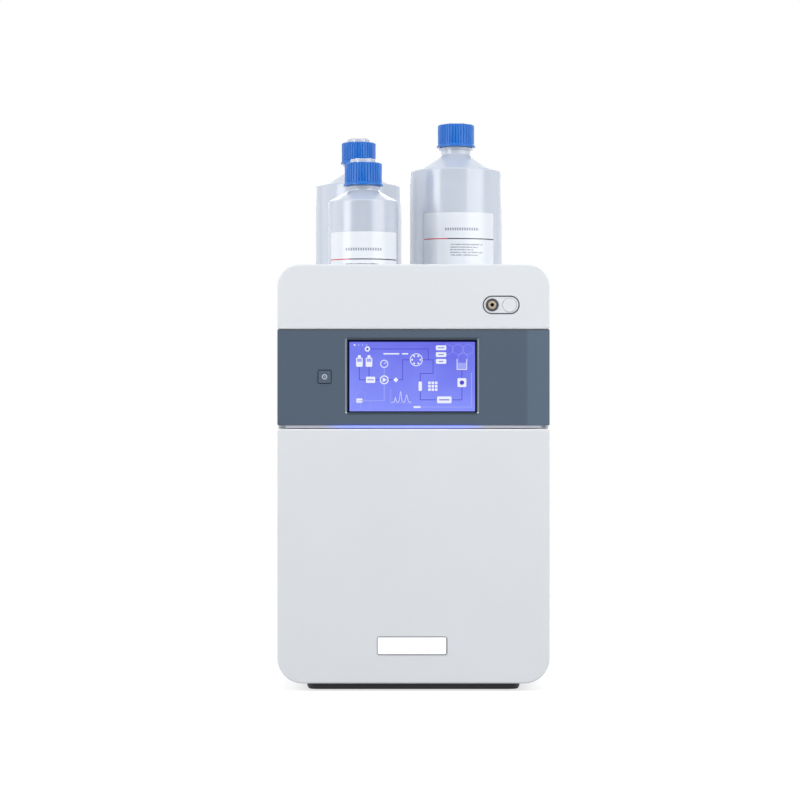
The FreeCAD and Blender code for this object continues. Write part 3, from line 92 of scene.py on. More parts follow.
class Signal:
    """One output socket of a node tree, used in Python arithmetic."""

    def __init__(self, graph: "Graph", socket: bpy.types.NodeSocket) -> None:
        """Keeps the tree and the socket."""
        self.graph = graph
        self.socket = socket

    def math(self, operation: str, *values: Value, clamp: bool = False) -> "Signal":
        """Adds a Math node.

        Args:
            operation: The node's operation.
            values: Its inputs, in order.
            clamp: Whether the result is held between 0 and 1.

        Returns:
            The node's result.
        """
        settings = {"operation": operation, "use_clamp": clamp}
        return self.graph.node("ShaderNodeMath", settings, dict(enumerate(values)))

    def __add__(self, other: Value) -> "Signal":
        """Sum."""
        return self.math("ADD", self, other)

    __radd__ = __add__

    def __sub__(self, other: Value) -> "Signal":
        """Difference."""
        return self.math("SUBTRACT", self, other)

    def __rsub__(self, other: Value) -> "Signal":
        """Difference from a number."""
        return self.math("SUBTRACT", other, self)

    def __mul__(self, other: Value) -> "Signal":
        """Product."""
        return self.math("MULTIPLY", self, other)

    __rmul__ = __mul__

    def __truediv__(self, other: Value) -> "Signal":
        """Quotient."""
        return self.math("DIVIDE", self, other)

    def __rtruediv__(self, other: Value) -> "Signal":
        """Quotient of a number by it."""
        return self.math("DIVIDE", other, self)

    def __abs__(self) -> "Signal":
        """Size without its sign."""
        return self.math("ABSOLUTE", self)

    def __gt__(self, other: Value) -> "Signal":
        """1 where it is greater, else 0."""
        return self.math("GREATER_THAN", self, other)

    def held(self) -> "Signal":
        """The value held between 0 and 1."""
        return self.math("ADD", self, 0.0, clamp=True)

    def most(self, other: Value) -> "Signal":
        """The greater of two values."""
        return self.math("MAXIMUM", self, other)

    def rise(self, start: float, end: float) -> "Signal":
        """0 before start, 1 after end, and straight between them."""
        return self.math("DIVIDE", self - start, end - start, clamp=True)

    def within(self, low: float, high: float, soft: float) -> "Signal":
        """1 between two values, fading to 0 over a soft width outside them."""
        return self.rise(low - soft, low) * self.rise(high + soft, high)

    def spread(self) -> "Signal":
        """Noise stretched from the middle of its range to the whole of it."""
        return self.rise(0.3, 0.7)

    def about(self, middle: Value, swing: float) -> "Signal":
        """Noise turned into values about a middle, which vary with the swing."""
        return middle + (self - 0.5) * swing

    def root(self) -> "Signal":
        """Square root."""
        return self.math("SQRT", self)

    def fraction(self) -> "Signal":
        """What is left over the next lower whole number."""
        return self.math("FRACT", self)


class Graph:
    """A node tree that is built from Python expressions."""

    def __init__(self, tree: bpy.types.NodeTree) -> None:
        """Empties the tree and keeps it."""
        self.tree = tree
        tree.nodes.clear()

    def node(self, kind: str, settings: dict | None = None, inputs: dict | None = None,
             output: int | str = 0) -> Signal:
        """Adds any node.

        Args:
            kind: The node's type.
            settings: Its settings, set before its sockets.
            inputs: Values or signals by socket name or number.
            output: The output that is wanted.

        Returns:
            The wanted output.
        """
        made = self.tree.nodes.new(kind)
        for name, value in (settings or {}).items():
            setattr(made, name, value)
        for name, value in (inputs or {}).items():
            socket = made.inputs[name]
            if isinstance(value, Signal):
                self.tree.links.new(value.socket, socket)
            elif socket.type == "RGBA":
                socket.default_value = (*value, 1.0)
            else:
                socket.default_value = value
        return Signal(self, made.outputs[output])

    def coordinates(self) -> Signal:
        """The point in the object's own frame, in metres."""
        return self.node("ShaderNodeTexCoord", output="Object")

    def places(self) -> tuple[Signal, Signal, Signal]:
        """X, Y and Z of the point.

        Returns:
            The three values.
        """
        split = self.node("ShaderNodeSeparateXYZ", inputs={0: self.coordinates()})
        outputs = split.socket.node.outputs
        return tuple(Signal(self, socket) for socket in outputs)

    def noise(self, size: float, detail: float = 2.0, stretch: Place = (1.0, 1.0, 1.0),
              shift: float = 0.0) -> Signal:
        """Noise whose blotches have about one size.

        Args:
            size: Size of a blotch in metres.
            detail: Number of finer layers.
            stretch: How many times longer a blotch is along each axis.
            shift: Distance that moves the pattern to another place.

        Returns:
            Values about 0.5.
        """
        scale = tuple(1 / (size * factor) for factor in stretch)
        settings = {"vector_type": "POINT"}
        inputs = {"Vector": self.coordinates(), "Location": (shift, shift, shift), "Scale": scale}
        place = self.node("ShaderNodeMapping", settings, inputs)
        return self.node("ShaderNodeTexNoise", None, {"Vector": place, "Scale": 1.0, "Detail": detail})

    def mix(self, share: Value, first: Union[Signal, Colour], second: Union[Signal, Colour]) -> Signal:
        """Blends two colours by a share from 0 to 1."""
        return self.node("ShaderNodeMix", {"data_type": "RGBA"}, {0: share, 6: first, 7: second}, 2)

    def soft_edges(self, radius: float) -> Signal:
        """A normal that rounds the hard edges of a mesh by a small radius."""
        return self.node("ShaderNodeBevel", {"samples": 4}, {"Radius": radius})

    def bump(self, height: Signal, depth: float, normal: Signal | None = None) -> Signal:
        """A normal with relief of a given depth in metres.

        Args:
            height: The relief, about from 0 to 1.
            depth: Height of the relief in metres.
            normal: A normal that it starts from, if there is one.

        Returns:
            The normal.
        """
        inputs = {"Height": height, "Distance": depth, "Strength": 1.0}
        if normal is not None:
            inputs["Normal"] = normal
        return self.node("ShaderNodeBump", None, inputs)

    def principled(self, inputs: dict) -> Signal:
        """The main surface shader with the given sockets."""
        return self.node("ShaderNodeBsdfPrincipled", None, inputs)

    def show(self, shader: Signal, kind: str = "ShaderNodeOutputMaterial") -> None:
        """Links a shader to the tree's output."""
        made = self.tree.nodes.new(kind)
        self.tree.links.new(shader.socket, made.inputs["Surface"])


UNLIT = tone(12, 12, 26)


@dataclass(frozen=True)
class Finish:
    """The base of all finishes."""

    name: str

    def material(self) -> bpy.types.Material:
        """The finish's material, made on first use.

        Returns:
            The material.
        """
        label = "finish_" + self.name
        found = bpy.data.materials.get(label)
        if found is None:
            found = bpy.data.materials.new(label)
            found.use_nodes = True
            graph = Graph(found.node_tree)
            graph.show(self.shade(graph))
        return found

    def shade(self, graph: Graph) -> Signal:
        """Builds the surface; each finish has its own."""
        raise NotImplementedError


@dataclass(frozen=True)
class MouldedPlastic(Finish):
    """Moulded or painted surface with a fine spark texture and slightly uneven gloss."""

    colour: Colour
    roughness: float = 0.4
    grain: float = 0.0006
    depth: float = 0.000012
    edge: float = 0.0006
    drift: float = 0.012
    specular: float = 0.5
    cloud: float = 0.09
    sheen: float = 0.03

    def tint(self, graph: Graph) -> Signal:
        """The colour with a faint uneven drift from the moulding.

        Args:
            graph: The node tree that it adds to.

        Returns:
            The colour.
        """
        cloud = graph.noise(self.cloud, 3.0)
        fleck = graph.noise(self.grain * 1.5, 1.0, shift=0.37)
        share = (cloud * 0.7 + fleck * 0.3).spread()
        return graph.mix(share, scaled(self.colour, 1 - self.drift), scaled(self.colour, 1 + self.drift))

    def shade(self, graph: Graph) -> Signal:
        """Fine texture, soft edges and a gloss that drifts.

        Args:
            graph: The node tree that it adds to.

        Returns:
            The surface shader.
        """
        relief = graph.noise(self.grain, 2.0)
        gloss = graph.noise(self.sheen, 2.0, shift=1.3)
        return graph.principled({
            "Base Color": self.tint(graph),
            "Roughness": gloss.about(self.roughness, 0.12),
            "Normal": graph.bump(relief, self.depth, graph.soft_edges(self.edge)),
            "Specular IOR Level": self.specular,
            "IOR": 1.46,
        })


@dataclass(frozen=True)
class BandPlastic(MouldedPlastic):
    """Slate plastic of the control band, with a painted reflection past its right end line, a painted shadow
    along its top and a painted glow along its lower edge.
    """

    # Colours of the painted reflection, the painted shadow and the painted glow, and where they lie.
    reflection_colour: Colour = tone(89, 107, 125)
    shadow_colour: Colour = tone(70, 82, 92)
    painted_glow_colour: Colour = tone(58, 84, 150)
    reflection_x: float = 0.1405
    reflection_fade: float = 0.003
    shadow_z: float = 0.4506
    shadow_fade: float = 0.0006
    edge_z: float = 0.3324
    glow_height: float = 0.0026
    glow_left: float = -0.09
    glow_right: float = 0.066
    fade: float = 0.035

    def tint(self, graph: Graph) -> Signal:
        """The band's colour with a painted reflection past its right end, a painted shadow line along its
        top and a painted glow on its lower edge.

        Args:
            graph: The node tree that it adds to.

        Returns:
            The colour.
        """
        x, _, z = graph.places()
        base = super().tint(graph)
        # Lighter colour past the right end line: a painted reflection of a lamp.
        with_reflection = graph.mix(x.rise(self.reflection_x, self.reflection_x + self.reflection_fade), base, self.reflection_colour)
        # Darker line along the top: a painted shadow under the upper panel.
        with_shadow = graph.mix(z.rise(self.shadow_z, self.shadow_z + self.shadow_fade), with_reflection, self.shadow_colour)
        # Bluish colour on the lower edge: a painted glow from the light bar.
        low = z.rise(self.edge_z + self.glow_height, self.edge_z)
        lit = x.within(self.glow_left, self.glow_right, self.fade) * low
        return graph.mix(lit, with_shadow, self.painted_glow_colour)


@dataclass(frozen=True)
class ShellPlastic(MouldedPlastic):
    """White shell plastic with a painted highlight along its edges beside the band."""

    # Colour of the painted highlight on the edges beside the band.
    bright: Colour = tone(254, 254, 255)
    fascia_edge: float = 0.4525
    door_edge: float = 0.3278
    highlight_height: float = 0.0009
    highlight_fade: float = 0.0002
    front: float = -0.236
    front_fade: float = 0.001

    def tint(self, graph: Graph) -> Signal:
        """The shell's colour with the two painted highlight lines along its edges.

        Args:
            graph: The node tree that it adds to.

        Returns:
            The colour.
        """
        _, y, z = graph.places()
        above, below = (z.within(edge - self.highlight_height, edge + self.highlight_height, self.highlight_fade)
                        for edge in (self.fascia_edge, self.door_edge))
        # Painted highlight lines where the fascia's lower edge and the door's top edge would catch light.
        share = above.most(below) * y.rise(self.front + self.front_fade, self.front)
        return graph.mix(share, super().tint(graph), self.bright)


@dataclass(frozen=True)
class KeyPlastic(MouldedPlastic):
    """Band plastic of a square key, with painted shade on its bevelled rim where it sinks into the groove.
    """

    centre: Point = (0.0, 0.0)
    face_half: float = 0.0073
    rim_shade_fade: float = 0.0004
    rim_shade_colour: Colour = tone(36, 48, 64)

    def tint(self, graph: Graph) -> Signal:
        """The key's colour, with painted shade outside its face.

        Args:
            graph: The node tree that it adds to.

        Returns:
            The colour.
        """
        x, _, z = graph.places()
        reach = abs(x - self.centre[0]).most(abs(z - self.centre[1]))
        # Darker outside the face: painted shade of the groove round the key.
        share = reach.rise(self.face_half, self.face_half + self.rim_shade_fade)
        return graph.mix(share, super().tint(graph), self.rim_shade_colour)


@dataclass(frozen=True)
class BrushedMetal(Finish):
    """Metal with fine brush lines along one axis and soft edges."""

    colour: Colour
    roughness: float = 0.28
    along: Place = (40.0, 1.0, 1.0)
    line: float = 0.0005
    depth: float = 0.000006
    edge: float = 0.0003
    smudge: float = 0.02

    def brushed(self, graph: Graph, lines: Signal) -> Signal:
        """The colour with darker and lighter brush lines."""
        return graph.mix(lines.spread(), scaled(self.colour, 0.9), scaled(self.colour, 1.06))

    def shade(self, graph: Graph) -> Signal:
        """Brush lines in the colour, the gloss and the relief.

        Args:
            graph: The node tree that it adds to.

        Returns:
            The surface shader.
        """
        lines = graph.noise(self.line, 3.0, self.along)
        smudge = graph.noise(self.smudge, 2.0, shift=0.7)
        return graph.principled({
            "Base Color": self.brushed(graph, lines),
            "Metallic": 1.0,
            "Roughness": lines.about(self.roughness, 0.12) + (smudge - 0.5) * 0.1,
            "Normal": graph.bump(lines, self.depth, graph.soft_edges(self.edge)),
        })


@dataclass(frozen=True)
class BezelMetal(BrushedMetal):
    """Bezel with bright metal side bars, a painted highlight of light caught by the side bevels, between
    slate rails painted as their shade.
    """

    centre_x: float = 0.0
    bar_x: float = 0.0815
    bar_fade: float = 0.0002
    rail_shade_colour: Colour = tone(52, 66, 80)

    def shade(self, graph: Graph) -> Signal:
        """Metal on the bars as a painted highlight, slate on the rails as painted shade.

        Args:
            graph: The node tree that it adds to.

        Returns:
            The surface shader.
        """
        x, _, _ = graph.places()
        # Side bars bright as a painted highlight, top and bottom rails dark as painted shade.
        highlight_bar = abs(x - self.centre_x).rise(self.bar_x, self.bar_x + self.bar_fade)
        lines = graph.noise(self.line, 3.0, self.along)
        return graph.principled({
            "Base Color": graph.mix(highlight_bar, self.rail_shade_colour, self.brushed(graph, lines)),
            "Metallic": highlight_bar,
            "Roughness": lines.about(self.roughness, 0.12),
            "Normal": graph.bump(lines, self.depth, graph.soft_edges(self.edge)),
        })


@dataclass(frozen=True)
class Rubber(Finish):
    """Matt rubber with a faint bloom."""

    colour: Colour
    roughness: float = 0.8
    bloom: float = 0.008
    skin: float = 0.0004
    depth: float = 0.00002
    edge: float = 0.0005

    def shade(self, graph: Graph) -> Signal:
        """Bloom in the colour and a fine skin.

        Args:
            graph: The node tree that it adds to.

        Returns:
            The surface shader.
        """
        bloom = graph.noise(self.bloom, 4.0)
        skin = graph.noise(self.skin, 2.0)
        return graph.principled({
            "Base Color": graph.mix(bloom.rise(0.35, 0.75), self.colour, scaled(self.colour, 1.7)),
            "Roughness": bloom.about(self.roughness, 0.15),
            "Normal": graph.bump(skin, self.depth, graph.soft_edges(self.edge)),
        })


@dataclass(frozen=True)
class FrostedPlastic(Finish):
    """Milky blow-moulded plastic that lets light through, denser towards its outline."""

    colour: Colour
    thin: float = 0.48
    thick: float = 0.82
    roughness: float = 0.24
    wave: float = 0.018
    depth: float = 0.00025
    skin: float = 0.0009
    skin_depth: float = 0.00001

    def shade(self, graph: Graph) -> Signal:
        """Wall that thins and thickens, more open where it is seen square on.

        Args:
            graph: The node tree that it adds to.

        Returns:
            The surface shader.
        """
        facing = graph.node("ShaderNodeLayerWeight", None, {"Blend": 0.38}, "Facing")
        wall = graph.noise(self.wave * 2.2, 2.0, (1.0, 1.0, 2.4))
        ripple = graph.noise(self.wave, 2.0, (1.0, 1.0, 3.0), shift=0.2)
        skin = graph.noise(self.skin, 2.0, shift=0.9)
        alpha = wall.about(self.thin + facing * (self.thick - self.thin), 0.12)
        return graph.principled({
            "Base Color": graph.mix(wall.spread(), self.colour, scaled(self.colour, 0.98)),
            "Alpha": alpha.held(),
            "Roughness": skin.about(self.roughness, 0.1),
            "Normal": graph.bump(skin, self.skin_depth, graph.bump(ripple, self.depth)),
            "IOR": 1.56,
            "Specular IOR Level": 0.95,
            "Coat Weight": 1.0,
            "Coat Roughness": 0.13,
        })


@dataclass(frozen=True)
class Heading:
    """Where a label's heading strip lies."""

    left: float
    right: float
    low: float
    high: float


@dataclass(frozen=True)
class SmallPrint:
    """Where a label's lines of small print lie, and how many there are."""

    left: float
    right: float
    top: float
    count: int


@dataclass(frozen=True)
class LabelPrint(Finish):
    """Paper label: a rule in two inks, a heading strip and lines that stand for small print."""

    rule_z: float
    rule_split: float
    heading: Heading
    small: SmallPrint
    paper: Colour = tone(241, 246, 253)
    red: Colour = tone(205, 45, 60)
    black: Colour = tone(34, 34, 44)
    grey: Colour = tone(112, 118, 132)
    heading_grey: Colour = tone(154, 161, 176)
    rule_height: float = 0.0013
    letter: float = 0.0031
    letter_gap: float = 0.34
    line_height: float = 0.0012
    line_pitch: float = 0.0034
    ragged: float = 0.006
    edge: float = 0.0001

    def shade(self, graph: Graph) -> Signal:
        """Paper fibres under the print.

        Args:
            graph: The node tree that it adds to.

        Returns:
            The surface shader.
        """
        x, _, z = graph.places()
        fibre = graph.noise(0.0006, 3.0, (3.0, 3.0, 1.0))
        colour = graph.mix(fibre.rise(0.3, 0.75), self.paper, scaled(self.paper, 0.96))
        rule = z.within(self.rule_z, self.rule_z + self.rule_height, self.edge)
        ink = graph.mix(x.rise(self.rule_split, self.rule_split + self.edge), self.red, self.black)
        colour = graph.mix(rule, colour, ink)
        colour = graph.mix(self.heading_strip(x, z), colour, self.heading_grey)
        for number in range(self.small.count):
            colour = graph.mix(self.small_line(graph, x, z, number) * 0.85, colour, self.grey)
        return graph.principled({
            "Base Color": colour,
            "Roughness": fibre.about(0.26, 0.1),
            "Normal": graph.bump(fibre, 0.000004),
            "Coat Weight": 0.3,
            "Coat Roughness": 0.16,
        })

    def heading_strip(self, x: Signal, z: Signal) -> Signal:
        """1 on the upright strokes of the heading, else 0.

        Args:
            x: X of the point.
            z: Z of the point.

        Returns:
            The strip's mask.
        """
        box = self.heading
        letters = (x / self.letter).fraction() > self.letter_gap
        return x.within(box.left, box.right, self.edge) * z.within(box.low, box.high, self.edge) * letters

    def small_line(self, graph: Graph, x: Signal, z: Signal, number: int) -> Signal:
        """One line of small print, broken into words.

        Args:
            graph: The label's node tree.
            x: X of the point.
            z: Z of the point.
            number: The line's number from the top, from 0.

        Returns:
            1 on the print, else 0.
        """
        low = self.small.top - number * self.line_pitch
        end = self.small.right - (number % 3) * self.ragged
        words = graph.noise(0.0009, 1.0, (1.5, 1.5, 4.0), shift=number * 0.11).rise(0.36, 0.46)
        across = x.within(self.small.left, end, self.edge)
        return across * z.within(low, low + self.line_height, self.edge) * words


@dataclass(frozen=True)
class GlowBar(Finish):
    """Frosted light bar whose middle shines violet blue and whose pale grey ends get a faint painted glow,
    though no light reaches them.
    """

    pale: Colour = tone(190, 194, 204)
    # Faint painted glow given to the unlit ends.
    painted_end_glow: Colour = tone(104, 107, 118)
    shine: Colour = tone(152, 166, 250)
    left: float = -0.083
    right: float = 0.062
    fade: float = 0.03
    strength: float = 0.6

    def shade(self, graph: Graph) -> Signal:
        """Lit stretch over milky plastic, with a painted glow at the unlit ends.

        Args:
            graph: The node tree that it adds to.

        Returns:
            The surface shader.
        """
        x, _, _ = graph.places()
        lit = x.within(self.left, self.right, self.fade)
        ripple = graph.noise(0.004, 2.0, (3.0, 1.0, 1.0))
        return graph.principled({
            "Base Color": graph.mix(lit, self.pale, scaled(self.shine, 0.9)),
            "Roughness": ripple.about(0.35, 0.1),
            # Outside the lit stretch the emission is a painted glow, not light from the bar.
            "Emission Color": graph.mix(lit, self.painted_end_glow, self.shine),
            "Emission Strength": self.strength,
            "Normal": graph.soft_edges(0.0004),
        })


@dataclass(frozen=True)
class LitScreen(Finish):
    """Lit picture area of the display, a little brighter below and left than above and right."""

    low: Colour = tone(130, 142, 253)
    high: Colour = tone(94, 97, 231)
    middle_z: float = 0.3932
    half_height: float = 0.0433
    strength: float = 0.94

    def shade(self, graph: Graph) -> Signal:
        """Backlight with soft clouds under smooth glass.

        Args:
            graph: The node tree that it adds to.

        Returns:
            The surface shader.
        """
        x, _, z = graph.places()
        height = (z - self.middle_z) / (2 * self.half_height) + 0.5
        cloud = graph.noise(0.035, 1.0, shift=0.4)
        share = (height * 0.8 + (cloud - 0.5) * 0.7 + x * 1.5).held()
        cell = graph.noise(0.0006, 0.0)
        return graph.principled({
            "Base Color": UNLIT,
            "Roughness": cell.about(0.12, 0.04),
            "Emission Color": graph.mix(share, self.low, self.high),
            "Emission Strength": self.strength,
        })


@dataclass(frozen=True)
class LitInk(Finish):
    """One of the colours that the display draws with."""

    colour: Colour
    strength: float = 0.9

    def shade(self, graph: Graph) -> Signal:
        """Evenly lit cells with a faint grid of their own.

        Args:
            graph: The node tree that it adds to.

        Returns:
            The surface shader.
        """
        cell = graph.noise(0.0005, 0.0)
        return graph.principled({
            "Base Color": UNLIT,
            "Roughness": 0.15,
            "Emission Color": graph.mix(cell.rise(0.2, 0.8), scaled(self.colour, 0.96), self.colour),
            "Emission Strength": self.strength,
        })


@dataclass(frozen=True)
class CircuitBoard(Finish):
    """Green solder mask over copper tracks, with dark parts standing above it."""

    mask: Colour = tone(24, 92, 58)
    track: Colour = tone(52, 128, 84)
    part: Colour = tone(34, 35, 38)
    cells: float = 240.0
    main_board_top: float = 0.3358
    card_back: float = -0.2304
    between: float = -0.19
    step: float = 0.0003
    reach: float = 0.01

    def shade(self, graph: Graph) -> Signal:
        """Tracks on the boards and grainy packages on the parts above the main board and behind the card.

        Args:
            graph: The node tree that it adds to.

        Returns:
            The surface shader.
        """
        _, y, z = graph.places()
        cells = graph.node("ShaderNodeTexVoronoi", {"distance": "CHEBYCHEV", "feature": "F1"},
                           {"Vector": graph.coordinates(), "Scale": self.cells}, "Distance")
        tracks = cells.rise(0.42, 0.5)
        board = graph.mix(tracks, self.mask, self.track)
        grain = graph.noise(0.001, 2.0)
        on_main_board = (z.rise(self.main_board_top, self.main_board_top + self.step)
                         * y.rise(self.between, self.between + self.reach))
        behind_card = (y.rise(self.card_back, self.card_back + self.step)
                       * y.rise(self.between, self.between - self.reach))
        return graph.principled({
            "Base Color": graph.mix(on_main_board.most(behind_card), board, self.part),
            "Roughness": grain.about(0.35, 0.2),
            "Normal": graph.bump(tracks, 0.00003, graph.soft_edges(0.0003)),
        })


@dataclass(frozen=True)
class NeedleSeat(Finish):
    """Needle port: a warm metal ring inside a grey steel flange, with painted shade in its hole."""

    centre: Point
    ring: Colour = tone(196, 182, 160)
    flange: Colour = tone(84, 84, 90)
    # Near-black colour painted inside the hole as its shade.
    hole: Colour = tone(18, 18, 20)
    ring_radius: float = 0.0049
    hole_radius: float = 0.0020
    edge: float = 0.0001

    def shade(self, graph: Graph) -> Signal:
        """Colours by the distance from the port's axis.

        Args:
            graph: The node tree that it adds to.

        Returns:
            The surface shader.
        """
        x, _, z = graph.places()
        across = x - self.centre[0]
        upward = z - self.centre[1]
        distance = (across * across + upward * upward).root()
        outer = distance.rise(self.ring_radius, self.ring_radius + self.edge)
        inner = distance.rise(self.hole_radius, self.hole_radius - self.edge)
        turning = graph.noise(0.0004, 2.0)
        ring = graph.mix(turning.spread(), scaled(self.ring, 0.9), self.ring)
        return graph.principled({
            # Inside the hole radius the colour is painted shade.
            "Base Color": graph.mix(inner, graph.mix(outer, ring, self.flange), self.hole),
            "Metallic": (1 - inner) * 0.6,
            "Roughness": turning.about(0.3, 0.1),
            "Normal": graph.bump(turning, 0.00001, graph.soft_edges(0.0003)),
        })


WHITE = ShellPlastic("white_shell", tone(234, 238, 243), roughness=0.42)
SLATE = BandPlastic("band_grey", tone(79, 94, 112), roughness=0.38)
FRAME_GREY = MouldedPlastic("frame_grey", tone(196, 200, 206), roughness=0.5)
SHEET_STEEL = BrushedMetal("steel_sheet", tone(176, 180, 184), roughness=0.38)
BLACK = MouldedPlastic("black_plastic", tone(24, 26, 30), roughness=0.45, depth=0.00002)
RUBBER = Rubber("dark_rubber", tone(30, 30, 32))
SEAL_RUBBER = Rubber("port_seal", tone(70, 73, 78))
GLOW = GlowBar("light_bar")
SCREEN = LitScreen("screen")
INK_WHITE = LitInk("ink_white", tone(238, 242, 255), 0.95)
INK_PALE = LitInk("ink_pale", tone(160, 170, 255))
INK_DEEP = LitInk("ink_deep", tone(66, 60, 205))
PANEL_BLACK = MouldedPlastic("panel_black", tone(5, 12, 52), roughness=0.3, depth=0.000002, specular=0.08)
BEZEL = BezelMetal("bezel_metal", tone(132, 143, 156), roughness=0.3, along=(1.0, 1.0, 40.0),
                   centre_x=-0.00175)
PLATE_METAL = BrushedMetal("plate_metal", tone(250, 251, 253), roughness=0.34, depth=0.000002)
BOARD = CircuitBoard("board_green")
BEIGE = MouldedPlastic("polymer_beige", tone(206, 192, 162), roughness=0.35)
INSTRUMENT = MouldedPlastic("instrument_grey", tone(196, 199, 204), roughness=0.4)
STEEL = BrushedMetal("bright_steel", tone(205, 207, 210), roughness=0.24, along=(12.0, 1.0, 1.0))
BLUE_FITTING = MouldedPlastic("fitting_blue", tone(36, 92, 168), roughness=0.35)
CAP_BLUE = MouldedPlastic("cap_blue", tone(4, 112, 208), roughness=0.22, edge=0.0003)
FROSTED = FrostedPlastic("bottle_clear", tone(226, 235, 249))
INSERT = FrostedPlastic("insert_clear", tone(214, 220, 230), thin=0.75, thick=0.98, wave=0.006,
                        depth=0.00005)
DARK_METAL = BrushedMetal("plate_rim", tone(96, 98, 108), roughness=0.3)
PALE_INK = MouldedPlastic("symbol_ink", tone(206, 214, 222), roughness=0.4)

SLOT_FINISHES = {finish.name: finish for finish in (
    WHITE, SLATE, FRAME_GREY, SHEET_STEEL, BLACK, RUBBER, GLOW, BOARD, BEIGE, INSTRUMENT, STEEL,
    BLUE_FITTING, CAP_BLUE, FROSTED, INSERT)}
SLOT_FINISHES["screen_glass"] = PANEL_BLACK
SLOT_FINISHES["bezel_metal"] = BEZEL


class Facing(Enum):
    """The plane that an outline lies in."""

    FRONT = "front"
    TOP = "top"

    def place(self, u: float, v: float, depth: float) -> Vector:
        """The point of an outline at a depth, in the shared frame."""
        return Vector((u, depth, v)) if self is Facing.FRONT else Vector((u, v, depth))


def rounded(centre: Point, width: float, height: float, radius: float, steps: int = 6) -> list[Point]:
    """Outline of a rounded rectangle.

    Args:
        centre: Its middle.
        width: Its width.
        height: Its height.
        radius: Radius of its corners.
        steps: Edges in each corner.

    Returns:
        The points, anticlockwise.
    """
    points = []
    for corner, (side, level) in enumerate(((1, 1), (-1, 1), (-1, -1), (1, -1))):
        u = centre[0] + side * (width / 2 - radius)
        v = centre[1] + level * (height / 2 - radius)
        for step in range(steps + 1):
            angle = math.radians(90 * (corner + step / steps))
            points.append((u + radius * math.cos(angle), v + radius * math.sin(angle)))
    return points


def regular(centre: Point, radius: float, count: int = 40, turn: float = 0.0) -> list[Point]:
    """Outline of a regular polygon, or of a circle where it has many sides."""
    angles = [math.radians(turn + 360 * n / count) for n in range(count)]
    return [(centre[0] + radius * math.cos(a), centre[1] + radius * math.sin(a)) for a in angles]


def stroke(points: Sequence[Point], width: float) -> list[Point]:
    """Outline of a line of even width with mitred corners.

    Args:
        points: The line's corners.
        width: The line's width.

    Returns:
        The points round the line.
    """
    left, right = [], []
    for number, point in enumerate(points):
        here = Vector(point)
        into = (here - Vector(points[number - 1])).normalized() if number else None
        out = (Vector(points[number + 1]) - here).normalized() if number + 1 < len(points) else into
        into = into or out
        across = Vector((-into.y - out.y, into.x + out.x)).normalized()
        reach = width / 2 / max(0.35, across.dot(Vector((-into.y, into.x))))
        left.append(tuple(here + across * reach))
        right.append(tuple(here - across * reach))
    return right + left[::-1]


class Recess(Enum):
    """The drive in a screw's head."""

    CROSS = "cross"
    HEX = "hex"

    def reach(self, angle: float, size: float) -> float:
        """Distance from the head's middle to the recess's wall at an angle.

        Args:
            angle: The angle in radians.
            size: How far the recess's corners or arms reach.

        Returns:
            The distance.
        """
        if self is Recess.HEX:
            sector = math.radians(60)
            return size * math.cos(sector / 2) / math.cos(angle % sector - sector / 2)
        half = size * 0.26
        across = max(abs(math.cos(angle)), 1e-6)
        upward = max(abs(math.sin(angle)), 1e-6)
        return max(min(size / across, half / upward), min(size / upward, half / across))


